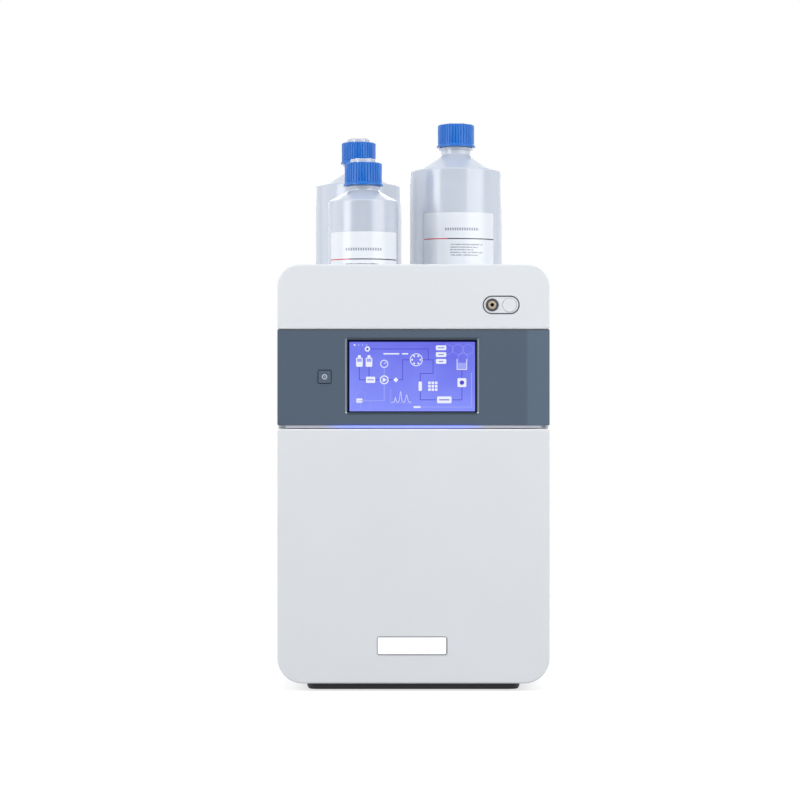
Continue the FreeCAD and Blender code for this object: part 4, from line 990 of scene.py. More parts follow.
class Form:
    """A mesh in the making, in the shared frame."""

    def __init__(self) -> None:
        """Starts empty."""
        self.mesh = bmesh.new()

    def ring(self, points: Iterable[Vector]) -> list[bmesh.types.BMVert]:
        """Adds a ring of points."""
        return [self.mesh.verts.new(point) for point in points]

    def skin(self, rings: Sequence[Sequence[bmesh.types.BMVert]], closed: bool = True) -> None:
        """Joins rings of equal length by quads.

        Args:
            rings: The rings in order.
            closed: Whether each ring comes back to its start.
        """
        count = len(rings[0])
        for first, second in zip(rings, rings[1:]):
            for n in range(count if closed else count - 1):
                m = (n + 1) % count
                self.mesh.faces.new((first[n], first[m], second[m], second[n]))

    def close(self, rings: Sequence[Sequence[bmesh.types.BMVert]]) -> None:
        """Joins rings and puts a face on the first and the last.

        Args:
            rings: The rings in order.
        """
        self.skin(rings)
        self.mesh.faces.new(rings[0])
        self.mesh.faces.new(rings[-1])

    def prism(self, outline: Sequence[Point], start: float, end: float,
              facing: Facing = Facing.FRONT) -> None:
        """Adds a closed prism of an outline between two depths."""
        self.close([self.ring(facing.place(u, v, depth) for u, v in outline) for depth in (start, end)])

    def hoop(self, outer: Sequence[Point], inner: Sequence[Point], start: float, end: float,
             facing: Facing = Facing.FRONT) -> None:
        """Adds a flat ring between two outlines that have as many points.

        Args:
            outer: The outer outline.
            inner: The inner outline.
            start: Depth of its first side.
            end: Depth of its other side.
            facing: The plane of the outlines.
        """
        rings = [self.ring(facing.place(u, v, depth) for u, v in outline)
                 for outline, depth in ((outer, start), (outer, end), (inner, end), (inner, start))]
        self.skin(rings + rings[:1])

    def lathe(self, profile: Sequence[tuple[float, ...]], centre: Vector, angles: Sequence[float],
              lift: Sequence[float], closed: bool = False) -> None:
        """Adds a turned form about an upright axis.

        Args:
            profile: Radius and height of each ring, and the share of the lift that it takes if
                that isn't 1; a radius of 0 closes the form.
            centre: The foot of the axis.
            angles: The angles of the points round each ring, in degrees.
            lift: How far out each angle stands from the profile, for seams and ribs.
            closed: Whether the last ring joins the first.
        """
        spans = [(math.cos(math.radians(a)), math.sin(math.radians(a)), e) for a, e in zip(angles, lift)]
        rings = []
        for radius, height, *share in profile:
            part = share[0] if share else 1.0
            if radius == 0:
                rings.append([self.mesh.verts.new(centre + UP * height)])
            else:
                reaches = [(c, s, radius + e * part) for c, s, e in spans]
                rings.append(self.ring(centre + Vector((c * r, s * r, height)) for c, s, r in reaches))
        for last, here in zip(rings, rings[1:] + rings[:1] if closed else rings[1:]):
            self._join(last, here)

    def _join(self, last: list[bmesh.types.BMVert], here: list[bmesh.types.BMVert]) -> None:
        """Joins two rings, either of which may be a single point.

        Args:
            last: The ring before.
            here: The ring after it.
        """
        if len(last) > 1 and len(here) > 1:
            self.skin([last, here])
            return
        tip, round_ring = (last[0], here) if len(last) == 1 else (here[0], last)
        for n, vertex in enumerate(round_ring):
            self.mesh.faces.new((tip, vertex, round_ring[(n + 1) % len(round_ring)]))

    def tube(self, points: Sequence[Vector], radius: float, bend: float = 0.010, sides: int = 12) -> None:
        """Adds a tube along a path with rounded corners.

        Args:
            points: The corners of the path.
            radius: Radius of the tube.
            bend: How far from a corner its rounding starts.
            sides: Points round the tube.
        """
        steps = 7
        leg_share = 0.48
        path = [points[0]]
        for before, corner, after in zip(points, points[1:], points[2:]):
            reach = min(bend, *((end - corner).length * leg_share for end in (before, after)))
            start = corner + (before - corner).normalized() * reach
            end = corner + (after - corner).normalized() * reach
            for step in range(steps + 1):
                share = step / steps
                path.append(start.lerp(corner, share).lerp(corner.lerp(end, share), share))
        path.append(points[-1])
        normal = (path[1] - path[0]).orthogonal().normalized()
        spans = [2 * math.pi * n / sides for n in range(sides)]
        rings = []
        for number, place in enumerate(path):
            ahead = path[min(number + 1, len(path) - 1)] - path[max(number - 1, 0)]
            along = ahead.normalized()
            normal = (normal - along * normal.dot(along)).normalized()
            side = along.cross(normal)
            spokes = [normal * math.cos(angle) + side * math.sin(angle) for angle in spans]
            rings.append(self.ring(place + spoke * radius for spoke in spokes))
        self.close(rings)

    def screw(self, place: Vector, axis: Vector, radius: float, height: float, recess: Recess,
              turn: float = 0.0, sides: int = 24) -> None:
        """Adds a screw head with its drive.

        Args:
            place: Middle of its seat.
            axis: The way its head looks.
            radius: Radius of the head.
            height: Height of the head.
            recess: Its drive.
            turn: Angle of the drive in degrees.
            sides: Points round the head.
        """
        across = axis.orthogonal().normalized()
        upward = axis.cross(across)
        turned = math.radians(turn)
        drive = radius * 0.52
        spans = [2 * math.pi * n / sides for n in range(sides)]
        steps = [(radius, 0.0, None), (radius, height * 0.45, None), (radius * 0.82, height * 0.85, None),
                 (radius * 0.62, height, None)]
        steps += [(drive, height, recess), (drive * 0.86, height * 0.45, recess)]
        rings = []
        for reach, level, cut in steps:
            points = []
            for angle in spans:
                out = reach if cut is None else cut.reach(angle - turned, reach)
                spoke = across * math.cos(angle) + upward * math.sin(angle)
                points.append(place + axis * level + spoke * out)
            rings.append(self.ring(points))
        self.close(rings)

    def build(self, name: str, finish: Finish, body: str, slot: str, bevel: float = 0.0,
              replaced: Sequence[str] = ()) -> bpy.types.Object:
        """Turns the form into a piece of the object.

        Args:
            name: The piece's name.
            finish: Its finish.
            body: The body that it rides on.
            slot: The record's material slot for its finish; not used.
            bevel: Width of the bevel on its hard edges, or 0.
            replaced: The nodes that it stands for.

        Returns:
            The new object.
        """
        bmesh.ops.recalc_face_normals(self.mesh, faces=self.mesh.faces)
        mesh = bpy.data.meshes.new(name)
        self.mesh.to_mesh(mesh)
        self.mesh.free()
        mesh.polygons.foreach_set("use_smooth", [True] * len(mesh.polygons))
        mesh.set_sharp_from_angle(angle=SMOOTH_ANGLE)
        mesh.materials.append(finish.material())
        piece = bpy.data.objects.new(name, mesh)
        bpy.context.scene.collection.objects.link(piece)
        if bevel:
            rounding = piece.modifiers.new("rounded edges", "BEVEL")
            rounding.width = bevel
            rounding.segments = 3
            rounding.limit_method = "ANGLE"
            rounding.angle_limit = BEVEL_ANGLE
        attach(piece, body)
        if replaced:
            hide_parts(*replaced)
        LOG.info("%s: %d faces on %s", name, len(mesh.polygons), body)
        return piece


@dataclass(frozen=True)
class Extent:
    """The box of a node."""

    low: Vector
    high: Vector

    @classmethod
    def of(cls, node: str) -> "Extent":
        """The box of a node by its name."""
        return cls(*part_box(node))

    @property
    def middle(self) -> Vector:
        """The box's middle."""
        return (self.low + self.high) / 2

    @property
    def size(self) -> Vector:
        """The box's width, depth and height."""
        return self.high - self.low


@dataclass
class Display:
    """The touch display: dark glass, a lit area and a flow diagram of a general layout.

    The units of the drawing are placed from the middle of the lit area.
    """

    lit_width: float = 0.1567
    lit_height: float = 0.0866
    lit_corner: float = 0.0008
    lit_shift: Point = (0.0002, -0.0007)
    glass_corner: float = 0.001
    layer: float = 0.00012
    line: float = 0.0009
    vessels: tuple[Point, Point] = ((-0.066, 0.018), (-0.054, 0.018))
    pump: Point = (-0.035, -0.004)
    gauge: Point = (-0.035, 0.016)
    air_remover: Point = (-0.052, -0.004)
    inline_filter: Point = (-0.0205, -0.004)
    valve: Point = (0.005, 0.021)
    column: Point = (0.010, -0.012)
    suppressor: Point = (0.040, -0.029)
    detector: Point = (0.062, -0.0075)
    waste: Point = (-0.066, -0.030)
    sample_inlet: Point = (-0.056, 0.0345)
    front: float = field(init=False)
    origin: Point = field(init=False)
    inks: dict[LitInk, Form] = field(init=False)

    def build(self) -> None:
        """Builds the glass, the lit area and every mark."""
        glass = Extent.of("display_glass")
        self.front = glass.low.y + 4 * self.layer
        self.origin = (glass.middle.x + self.lit_shift[0], glass.middle.z + self.lit_shift[1])
        pane = Form()
        middle = (glass.middle.x, glass.middle.z)
        pane.prism(rounded(middle, glass.size.x, glass.size.z, self.glass_corner), self.front, glass.high.y)
        pane.build("display_pane", PANEL_BLACK, "cabinet", "screen_glass", 0.0002, ["display_glass"])
        area = Form()
        area.prism(rounded(self.origin, self.lit_width, self.lit_height, self.lit_corner),
                   self.front - self.layer, self.front)
        area.build("display_picture", SCREEN, "cabinet", "screen_glass")
        self.inks = {INK_WHITE: Form(), INK_PALE: Form(), INK_DEEP: Form()}
        self.draw_background()
        self.draw_pipes()
        self.draw_units()
        self.draw_extras()
        self.draw_chart()
        self.draw_keys()
        for finish, form in self.inks.items():
            form.build("display_" + finish.name, finish, "cabinet", "screen_glass")

    def mark(self, ink: Finish, outline: Sequence[Point], level: int = 1) -> None:
        """Adds a flat mark of one ink.

        Args:
            ink: The ink.
            outline: The mark's outline from the picture's middle, in metres.
            level: Which layer it lies on, from 1.
        """
        points = [(self.origin[0] + u, self.origin[1] + v) for u, v in outline]
        back = self.front - level * self.layer
        self.inks[ink].prism(points, back - self.layer, back)

    def ring(self, ink: Finish, centre: Point, outer: float, inner: float, sides: int = 40,
             turn: float = 0.0) -> None:
        """Adds a flat ring of one ink.

        Args:
            ink: The ink.
            centre: Its middle, from the picture's middle.
            outer: Its outer radius.
            inner: Its inner radius.
            sides: Sides of its outlines.
            turn: Angle of the first corner in degrees.
        """
        lines = [[(self.origin[0] + u, self.origin[1] + v) for u, v in regular(centre, radius, sides, turn)]
                 for radius in (outer, inner)]
        back = self.front - self.layer
        self.inks[ink].hoop(*lines, back - self.layer, back)

    def pipe(self, ink: Finish, *points: Point) -> None:
        """Adds a pipe's line through its corners."""
        self.mark(ink, stroke(points, self.line))

    def draw_background(self) -> None:
        """Faint honeycomb outlines in two corners."""
        size = 0.0075
        step = size * math.sqrt(3)
        cells = [(0.070 - n * step, 0.034) for n in range(3)] + [(0.070 - step / 2, 0.034 - 1.5 * size)]
        cells += [(-0.071 + n * step, -0.036) for n in range(2)] + [(-0.071 + step / 2, -0.036 + 1.5 * size)]
        for centre in cells:
            self.ring(INK_PALE, centre, size - 0.0004, size - 0.0008, 6, 30)

    def draw_pipes(self) -> None:
        """The lines that join the units."""
        deep = INK_DEEP
        self.pipe(deep, (-0.066, 0.012), (-0.066, -0.004), (-0.040, -0.004))
        self.pipe(deep, (-0.054, 0.012), (-0.054, -0.004))
        self.pipe(deep, (-0.030, -0.004), (-0.012, -0.004), (-0.012, 0.021), (-0.002, 0.021))
        self.pipe(deep, (0.012, 0.021), (0.026, 0.021), (0.026, 0.004), (0.010, 0.004), (0.010, -0.006))
        self.pipe(deep, (0.010, -0.018), (0.010, -0.029), (0.030, -0.029))
        self.pipe(deep, (0.050, -0.029), (0.062, -0.029), (0.062, -0.014))
        self.pipe(deep, (0.062, -0.001), (0.062, 0.008))
        self.pipe(INK_PALE, (-0.035, -0.009), (-0.035, -0.030), (-0.066, -0.030))

    def draw_units(self) -> None:
        """Vessels, pump, valve, column, suppressor, detector, beaker and waste."""
        for vessel in self.vessels:
            self.draw_vessel(vessel)
        self.ring(INK_WHITE, self.pump, 0.0056, 0.0042)
        self.mark(INK_WHITE, regular((self.pump[0] - 0.0002, self.pump[1]), 0.0034, 3))
        for port in regular(self.valve, 0.0052, 6):
            self.mark(INK_WHITE, regular(port, 0.0012, 16))
        self.ring(INK_WHITE, self.valve, 0.0080, 0.0070)
        self.mark(INK_WHITE, rounded(self.column, 0.0042, 0.0120, 0.0018))
        self.mark(INK_WHITE, rounded(self.suppressor, 0.0180, 0.0085, 0.0015))
        self.mark(INK_DEEP, rounded(self.suppressor, 0.0130, 0.0012, 0.0005), 2)
        self.mark(INK_WHITE, rounded(self.detector, 0.0110, 0.0110, 0.0010))
        self.mark(INK_DEEP, regular(self.detector, 0.0028), 2)
        beaker = [(0.056, 0.022), (0.056, 0.009), (0.068, 0.009), (0.068, 0.022)]
        self.mark(INK_WHITE, stroke(beaker, self.line))
        self.mark(INK_PALE, rounded((0.062, 0.0135), 0.0104, 0.0075, 0.0004))
        self.mark(INK_WHITE, rounded(self.waste, 0.0075, 0.0055, 0.0010))

    def draw_extras(self) -> None:
        """Gauge, air remover, filter, heater block, sample inlet and a few long bars."""
        self.ring(INK_WHITE, self.gauge, 0.0050, 0.0040)
        self.mark(INK_WHITE, stroke([self.gauge, (-0.0325, 0.0185)], 0.0008))
        self.pipe(INK_PALE, (-0.035, 0.011), (-0.035, 0.0016))
        self.mark(INK_WHITE, rounded(self.air_remover, 0.0115, 0.0078, 0.0012), 2)
        self.mark(INK_DEEP, rounded(self.air_remover, 0.0080, 0.0009, 0.0004), 3)
        self.mark(INK_WHITE, regular(self.inline_filter, 0.0032, 4), 2)
        for column in range(3):
            for row in range(3):
                place = (0.0215 + 0.0042 * column, -0.0162 + 0.0042 * row)
                self.mark(INK_WHITE, rounded(place, 0.0032, 0.0032, 0.0005))
        self.mark(INK_WHITE, rounded((-0.026, 0.0285), 0.0200, 0.0017, 0.0008))
        self.mark(INK_WHITE, rounded((-0.009, 0.0285), 0.0080, 0.0017, 0.0008))
        self.mark(INK_WHITE, regular(self.sample_inlet, 0.0036, 6))
        self.mark(INK_DEEP, regular(self.sample_inlet, 0.0015, 16), 2)
        self.pipe(INK_DEEP, (-0.0525, 0.0345), (0.020, 0.0345), (0.020, 0.021))
        self.pipe(INK_PALE, (0.006, -0.038), (0.074, -0.038), (0.074, 0.005))
        self.mark(INK_WHITE, rounded((0.006, -0.038), 0.0090, 0.0024, 0.0011), 2)

    def draw_vessel(self, foot: Point) -> None:
        """A supply vessel with a neck and a level.

        Args:
            foot: Its middle, just above its outlet.
        """
        u, v = foot
        self.mark(INK_WHITE, rounded((u, v), 0.0082, 0.0115, 0.0016))
        self.mark(INK_WHITE, rounded((u, v + 0.0070), 0.0036, 0.0035, 0.0005))
        self.mark(INK_PALE, rounded((u, v + 0.0025), 0.0060, 0.0042, 0.0008), 2)

    def draw_chart(self) -> None:
        """A small trace with three peaks over its axis."""
        left, right, base = -0.026, -0.001, -0.033
        peaks = ((-0.021, 0.006, 0.0009), (-0.0145, 0.0135, 0.0012), (-0.007, 0.009, 0.0015))
        count = 44
        trace = []
        for n in range(count + 1):
            u = left + (right - left) * n / count
            rise = sum(height * math.exp(-((u - at) / width) ** 2) for at, height, width in peaks)
            trace.append((u, base + 0.0012 + rise))
        self.mark(INK_WHITE, stroke(trace, self.line * 0.6))
        axes = [(left - 0.001, base + 0.018), (left - 0.001, base), (right, base)]
        self.mark(INK_PALE, stroke(axes, 0.0006))

    def draw_keys(self) -> None:
        """Three keys with strips for their words, and a row of status lamps."""
        for n in range(3):
            centre = (0.036, 0.036 - n * 0.0085)
            self.mark(INK_WHITE, rounded(centre, 0.0130, 0.0060, 0.0014))
            self.mark(INK_DEEP, rounded(centre, 0.0085 - 0.0015 * n, 0.0010, 0.0004), 2)
        for n in range(4):
            self.mark(INK_PALE if n else INK_WHITE, regular((-0.072 + 0.005 * n, 0.0395), 0.0011, 16))


@dataclass
class FrontFittings:
    """Trim on the band, the upper panel and the door."""

    symbol_outer: float = 0.0033
    symbol_inner: float = 0.0021
    symbol_dot: float = 0.0007
    collar_size: float = 0.0214
    collar_hole: float = 0.0176
    collar_corner: float = 0.0042
    collar_thick: float = 0.0003
    proud: float = 0.00006
    dot_radius: float = 0.0011
    dot_inset: float = 0.00154
    dot_lift: float = 0.0016
    bezel_rim: Point = (0.1677, 0.0948)
    seal_width: float = 0.0011
    seal_sink: float = 0.0010
    seal_fit: float = 0.0001
    ease: float = 0.00001
    rim_width: float = 0.0009
    rim_thin: float = 0.0005
    rim_proud: float = 0.00015
    plate_corner: float = 0.0025

    def build(self) -> None:
        """Builds every piece of trim."""
        self.power_symbol()
        self.bezel_dots()
        self.port_seal()
        self.plate_rim()

    def power_symbol(self) -> None:
        """The pale ring and dot on the power button, and the collar that narrows its groove."""
        button = Extent.of("power_button")
        centre = (button.middle.x, button.middle.z)
        face = button.low.y
        form = Form()
        form.hoop(regular(centre, self.symbol_outer), regular(centre, self.symbol_inner),
                  face - self.proud, face + self.proud)
        form.prism(regular(centre, self.symbol_dot, 20), face - self.proud, face + self.proud)
        form.build("power_symbol", PALE_INK, "power_button", "white_shell")
        front = Extent.of("control_band").low.y - self.proud
        hole_corner = self.collar_corner - (self.collar_size - self.collar_hole) / 2
        collar = Form()
        collar.hoop(rounded(centre, self.collar_size, self.collar_size, self.collar_corner),
                    rounded(centre, self.collar_hole, self.collar_hole, hole_corner),
                    front, front + self.collar_thick)
        collar.build("power_collar", SLATE, "cabinet", "band_grey")

    def bezel_dots(self) -> None:
        """Two bright dots at the bezel's lower corners."""
        bezel = Extent.of("display_bezel")
        glass = Extent.of("display_glass")
        front = bezel.low.y - 2 * self.proud
        back = bezel.low.y + (glass.low.x - bezel.low.x) / 16
        width, height = self.bezel_rim
        form = Form()
        for side in (-1, 1):
            u = bezel.middle.x + side * (width / 2 - self.dot_inset)
            v = bezel.middle.z - height / 2 + self.dot_lift
            form.prism(regular((u, v), self.dot_radius, 24), front, back)
        form.build("bezel_dots", PALE_INK, "cabinet", "bezel_metal", 0.00008)

    def port_seal(self) -> None:
        """The dark seal in the groove round the port plate."""
        plate = Extent.of("port_plate")
        centre = (plate.middle.x, plate.middle.z)
        width = plate.size.x + 2 * self.seal_width
        height = plate.size.z + 2 * self.seal_width
        outer = rounded(centre, width, height, height / 2 - self.ease, 20)
        inner = rounded(centre, plate.size.x + self.seal_fit, plate.size.z + self.seal_fit,
                        plate.size.z / 2 - self.ease, 20)
        form = Form()
        form.hoop(outer, inner, plate.low.y + self.seal_sink, plate.high.y)
        form.build("port_seal", SEAL_RUBBER, "cabinet", "dark_rubber", 0.0002)

    def plate_rim(self) -> None:
        """The thin dark metal rim of the bare name plate, wider at the bottom and right as a painted shadow
        of the plate's edge.
        """
        plate = Extent.of("name_plate")
        centre = (plate.middle.x, plate.middle.z)
        outer = rounded(centre, plate.size.x, plate.size.z, self.plate_corner, 8)
        # Shifting the inner outline up and left widens the rim at the bottom and right: painted shadow.
        shadow_shift = (self.rim_width - self.rim_thin) / 2
        both = self.rim_width + self.rim_thin
        inner = rounded((centre[0] - shadow_shift, centre[1] + shadow_shift), plate.size.x - both, plate.size.z - both,
                        self.plate_corner - self.rim_width, 8)
        form = Form()
        form.hoop(outer, inner, plate.low.y - self.rim_proud, plate.high.y)
        form.build("plate_rim", DARK_METAL, "door", "bezel_metal", 0.00012)


@dataclass(frozen=True)
class Bottle:
    """A blow-moulded bottle with a conical shoulder, two moulding seams and a threaded neck."""

    place: str
    body_radius: float
    shoulder: float
    neck_foot: float
    cap_bottom: float
    cap_top: float
    neck: float = 0.01975
    bore: float = 0.0165
    wall: float = 0.0018
    bead: float = 0.0225
    bead_height: float = 0.003
    bead_gap: float = 0.0008
    thread: float = 0.021
    thread_pitch: float = 0.004
    thread_turns: float = 2.4
    thread_lift: float = 0.006
    thread_crest: float = 0.0004
    thread_flank: float = 0.0008
    thread_foot: float = 0.0011
    thread_sink: float = 0.0004
    cap_plate: float = 0.0045
    kick: float = 0.0015
    foot_ring: float = 0.021
    foot_slope: float = 0.003
    soft: float = 0.0008
    wall_rows: int = 14
    wall_stop: float = 0.012
    neck_bend: float = 0.002
    seam_clear: float = 1.6
    shoulder_bend: float = 0.003
    heel_bend: float = 0.005
    seam_rise: float = 0.00022
    seam_angles: tuple[float, float] = (11.0, 191.0)

    @staticmethod
    def corner(before: Point, corner: Point, after: Point, bend: float, steps: int = 8) -> list[Point]:
        """Points of the arc that rounds a corner of the profile.

        Args:
            before: The profile's point before the corner.
            corner: The corner.
            after: The point after it.
            bend: The arc's radius.
            steps: Edges in the arc.

        Returns:
            The arc's points in order.
        """
        here = Vector(corner)
        into = (here - Vector(before)).normalized()
        out = (Vector(after) - here).normalized()
        half = into.angle(out) / 2
        inward = (out - into).normalized()
        middle = here + inward * (bend / math.cos(half))
        points = []
        for step in range(steps + 1):
            angle = -half + 2 * half * step / steps
            spoke = -inward * math.cos(angle) + (into + out).normalized() * math.sin(angle)
            points.append(tuple(middle + spoke * bend))
        return points

    def outline(self, inset: float, heel: float, bend: float, neck: float, mouth: float) -> list[Point]:
        """Profile from the middle of the floor to the mouth.

        Args:
            inset: How far inside the outer wall it lies.
            heel: Radius of the heel.
            bend: Radius of the shoulder's corner.
            neck: The neck's radius.
            mouth: Height of the mouth.

        Returns:
            The profile's points.
        """
        radius = self.body_radius - inset
        top = self.shoulder - inset / 2
        neck_foot = (neck, self.neck_foot - inset / 2)
        ring = radius - self.foot_ring
        stand = (ring + self.foot_slope, inset)
        floor = inset + self.kick
        points = [(0.0, floor), (ring * 0.5, floor), (ring, floor), stand]
        points += self.corner(stand, (radius, inset), (radius, top), heel)
        rows = self.wall_rows
        height = top - self.wall_stop - inset - heel
        points += [(radius, inset + heel + height * (n + 1) / rows) for n in range(rows)]
        points += self.corner((radius, inset), (radius, top), neck_foot, bend)
        points += self.corner((radius, top), neck_foot, (neck, mouth), self.neck_bend, 5)
        return points

    def build(self, foot: Vector) -> None:
        """Builds the bottle in place of its node.

        Args:
            foot: Middle of its underside.
        """
        mouth = self.cap_top - self.cap_plate
        bead_top = self.cap_bottom - self.bead_gap
        bead_foot = bead_top - self.bead_height
        soft = self.soft
        outer = self.outline(0.0, self.heel_bend, self.shoulder_bend, self.neck, mouth)
        outer += [(self.neck, bead_foot), (self.bead - soft, bead_foot), (self.bead, bead_foot + soft)]
        outer += [(self.bead, bead_top - soft), (self.bead - soft, bead_top), (self.neck, bead_top)]
        outer += [(self.neck, mouth - soft), (self.neck - soft, mouth), (self.bore + soft, mouth)]
        inner = self.outline(self.wall, self.heel_bend - self.wall, self.shoulder_bend, self.bore, mouth)
        angles, lift = self.seams()
        form = Form()
        form.lathe(outer + [(*point, 0.0) for point in inner[::-1]], foot, angles, lift)
        self.add_thread(form, foot)
        node = "bottle_" + self.place
        form.build("bottle_shell_" + self.place, FROSTED, "cabinet", "bottle_clear", 0.0, [node])

    def seams(self) -> tuple[list[float], list[float]]:
        """Angles round the bottle and how far the seams stand out at each.

        Returns:
            The angles and the lift at each.
        """
        count = 96
        angles = [360 * n / count for n in range(count)]
        lift = {angle: 0.0 for angle in angles}
        for seam in self.seam_angles:
            lift = {a: e for a, e in lift.items() if abs(a - seam) > self.seam_clear}
            lift.update({seam + side * turn: rise for side in (-1, 1)
                         for turn, rise in ((1.3, 0.0), (0.55, 0.0), (0.2, self.seam_rise))})
        order = sorted(lift)
        return order, [lift[angle] for angle in order]

    def add_thread(self, form: Form, foot: Vector) -> None:
        """Adds the thread's ridge round the neck.

        Args:
            form: The bottle's form.
            foot: Middle of the bottle's underside.
        """
        start = self.cap_bottom + self.thread_lift
        steps = 110
        upper = ((1.0, self.thread_crest), (0.0, self.thread_flank), (-self.thread_sink, self.thread_foot))
        section = [(out, -rise) for out, rise in upper[::-1]] + list(upper)
        rings = []
        for n in range(steps + 1):
            share = n / steps
            angle = 2 * math.pi * self.thread_turns * share
            fade = min(1.0, 12 * share, 12 * (1 - share))
            height = start + self.thread_pitch * self.thread_turns * share
            ring = []
            for out, rise in section:
                rising = (self.thread - self.neck) * fade if out == 1.0 else min(out, 0.0)
                radius = self.neck + rising
                place = Vector((radius * math.cos(angle), radius * math.sin(angle), height + rise))
                ring.append(foot + place)
            rings.append(form.ring(ring))
        form.close(rings)


@dataclass(frozen=True)
class RibbedCap:
    """A screw cap with rounded grip ribs, a flared skirt and a hole for its insert."""

    place: str
    bottom: float
    top: float
    radius: float = 0.024
    flare: float = 0.02575
    flare_height: float = 0.0035
    lip: float = 0.0008
    inner: float = 0.0213
    hole: float = 0.0167
    plate: float = 0.0025
    chamfer: float = 0.0015
    ribs: int = 40
    groove: float = 0.0012
    groove_shape: tuple[float, ...] = (0.0, 0.0, 0.0, 0.12, 0.62, 1.0, 0.62, 0.12)
    run_out: float = 0.0008
    waist: float = 0.0004
    hole_edge: float = 0.0003

    def build(self, foot: Vector) -> None:
        """Builds the cap in place of its node.

        Args:
            foot: Middle of the bottle's underside.
        """
        steps = self.ribs * len(self.groove_shape)
        angles = [360 * n / steps for n in range(steps)]
        lift = [-self.groove * depth for depth in self.groove_shape] * self.ribs
        rib_foot = self.bottom + self.flare_height
        rib_top = self.top - self.chamfer
        inside = self.top - self.plate
        skirt = [(self.inner, self.bottom), (self.flare - self.lip / 2, self.bottom),
                 (self.flare, self.bottom + self.lip / 2), (self.flare, self.bottom + self.lip * 1.5),
                 (self.radius + self.waist, rib_foot)]
        grip = [(self.radius, rib_foot + self.run_out, 1.0), (self.radius, rib_top, 1.0),
                (self.radius - self.chamfer * 0.4, rib_top + self.chamfer * 0.6, 0.6),
                (self.radius - self.chamfer, self.top, 0.2)]
        mouth = [(self.hole + self.hole_edge, self.top), (self.hole, self.top - self.hole_edge),
                 (self.hole, inside), (self.inner, inside)]
        smooth = [[(*point, 0.0) for point in stretch] for stretch in (skirt, mouth)]
        rings = smooth[0] + grip + smooth[1]
        form = Form()
        form.lathe(rings, foot, angles, lift, closed=True)
        node = "cap_" + self.place
        form.build("cap_shell_" + self.place, CAP_BLUE, node, "cap_blue", 0.0, [node])


@dataclass(frozen=True)
class WrapLabel:
    """A paper label that wraps a bottle's wall."""

    name: str
    print_finish: Finish
    radius: float
    low: float
    high: float
    left: float
    right: float
    corner: float = 0.003
    thick: float = 0.0003
    gap: float = 0.0003
    columns: int = 72

    def build(self, foot: Vector, replaced: Sequence[str] = ()) -> None:
        """Builds the label on its bottle.

        Args:
            foot: Middle of the bottle's underside.
            replaced: The nodes that it stands for.
        """
        inner = self.radius + self.gap
        width = math.radians(self.right - self.left) * inner
        form = Form()
        sheets = []
        for radius in (inner, inner + self.thick):
            edges = []
            for n in range(self.columns + 1):
                along = self.spread(n / self.columns) * width
                near = min(along, width - along, self.corner)
                trim = self.corner - math.sqrt(max(0.0, self.corner ** 2 - (self.corner - near) ** 2))
                angle = math.radians(self.left - 90) + along / inner
                out = Vector((math.cos(angle), math.sin(angle), 0)) * radius
                edges.append((foot + out + UP * (self.low + trim), foot + out + UP * (self.high - trim)))
            sheets.append([form.ring(edge) for edge in zip(*edges)])
        (low_in, high_in), (low_out, high_out) = sheets
        form.skin([low_in, low_out, high_out, high_in, low_in], closed=False)
        for end in (0, -1):
            form.mesh.faces.new((low_in[end], low_out[end], high_out[end], high_in[end]))
        form.build(self.name, self.print_finish, "cabinet", "label_paper", 0.0, replaced)

    @staticmethod
    def spread(share: float) -> float:
        """Packs more columns near both ends, for the rounded corners."""
        return (share + 0.5 - 0.5 * math.cos(math.pi * share)) / 2


@dataclass
class TrayGoods:
    """The three bottles in the tray, with the labels of the two that show theirs."""

    floor: float = 0.4935

    def build(self) -> None:
        """Builds bottles and labels."""
        large = dict(body_radius=0.0605, shoulder=0.1708, neck_foot=0.193, cap_bottom=0.203, cap_top=0.2325)
        small = dict(body_radius=0.045, shoulder=0.1246, neck_foot=0.1386, cap_bottom=0.1453, cap_top=0.1745)
        for place, sizes in (("right", large), ("rear", large), ("front", small)):
            Bottle(place, **sizes).build(self.foot(place))
            RibbedCap(place, sizes["cap_bottom"], sizes["cap_top"]).build(self.foot(place))
        right_print = LabelPrint("label_right", rule_z=0.5722, rule_split=0.0447,
                                 heading=Heading(left=0.0405, right=0.0850, low=0.5835, high=0.5868),
                                 small=SmallPrint(left=0.0480, right=0.0900, top=0.5645, count=5))
        right = WrapLabel("label_right", right_print, large["body_radius"], low=0.010, high=0.1135,
                          left=-44.0, right=51.5)
        right.build(self.foot("right"), ["bottle_labels"])
        front_print = LabelPrint("label_front", rule_z=0.5420, rule_split=-0.0815,
                                 heading=Heading(left=-0.0865, right=-0.0400, low=0.5535, high=0.5568),
                                 small=SmallPrint(left=-0.0860, right=-0.0450, top=0.5360, count=3))
        front = WrapLabel("label_front", front_print, small["body_radius"], low=0.010, high=0.0842,
                          left=-64.0, right=69.0)
        front.build(self.foot("front"))

    def foot(self, place: str) -> Vector:
        """Middle of a bottle's underside."""
        middle = Extent.of("bottle_" + place).middle
        return Vector((middle.x, middle.y, self.floor))


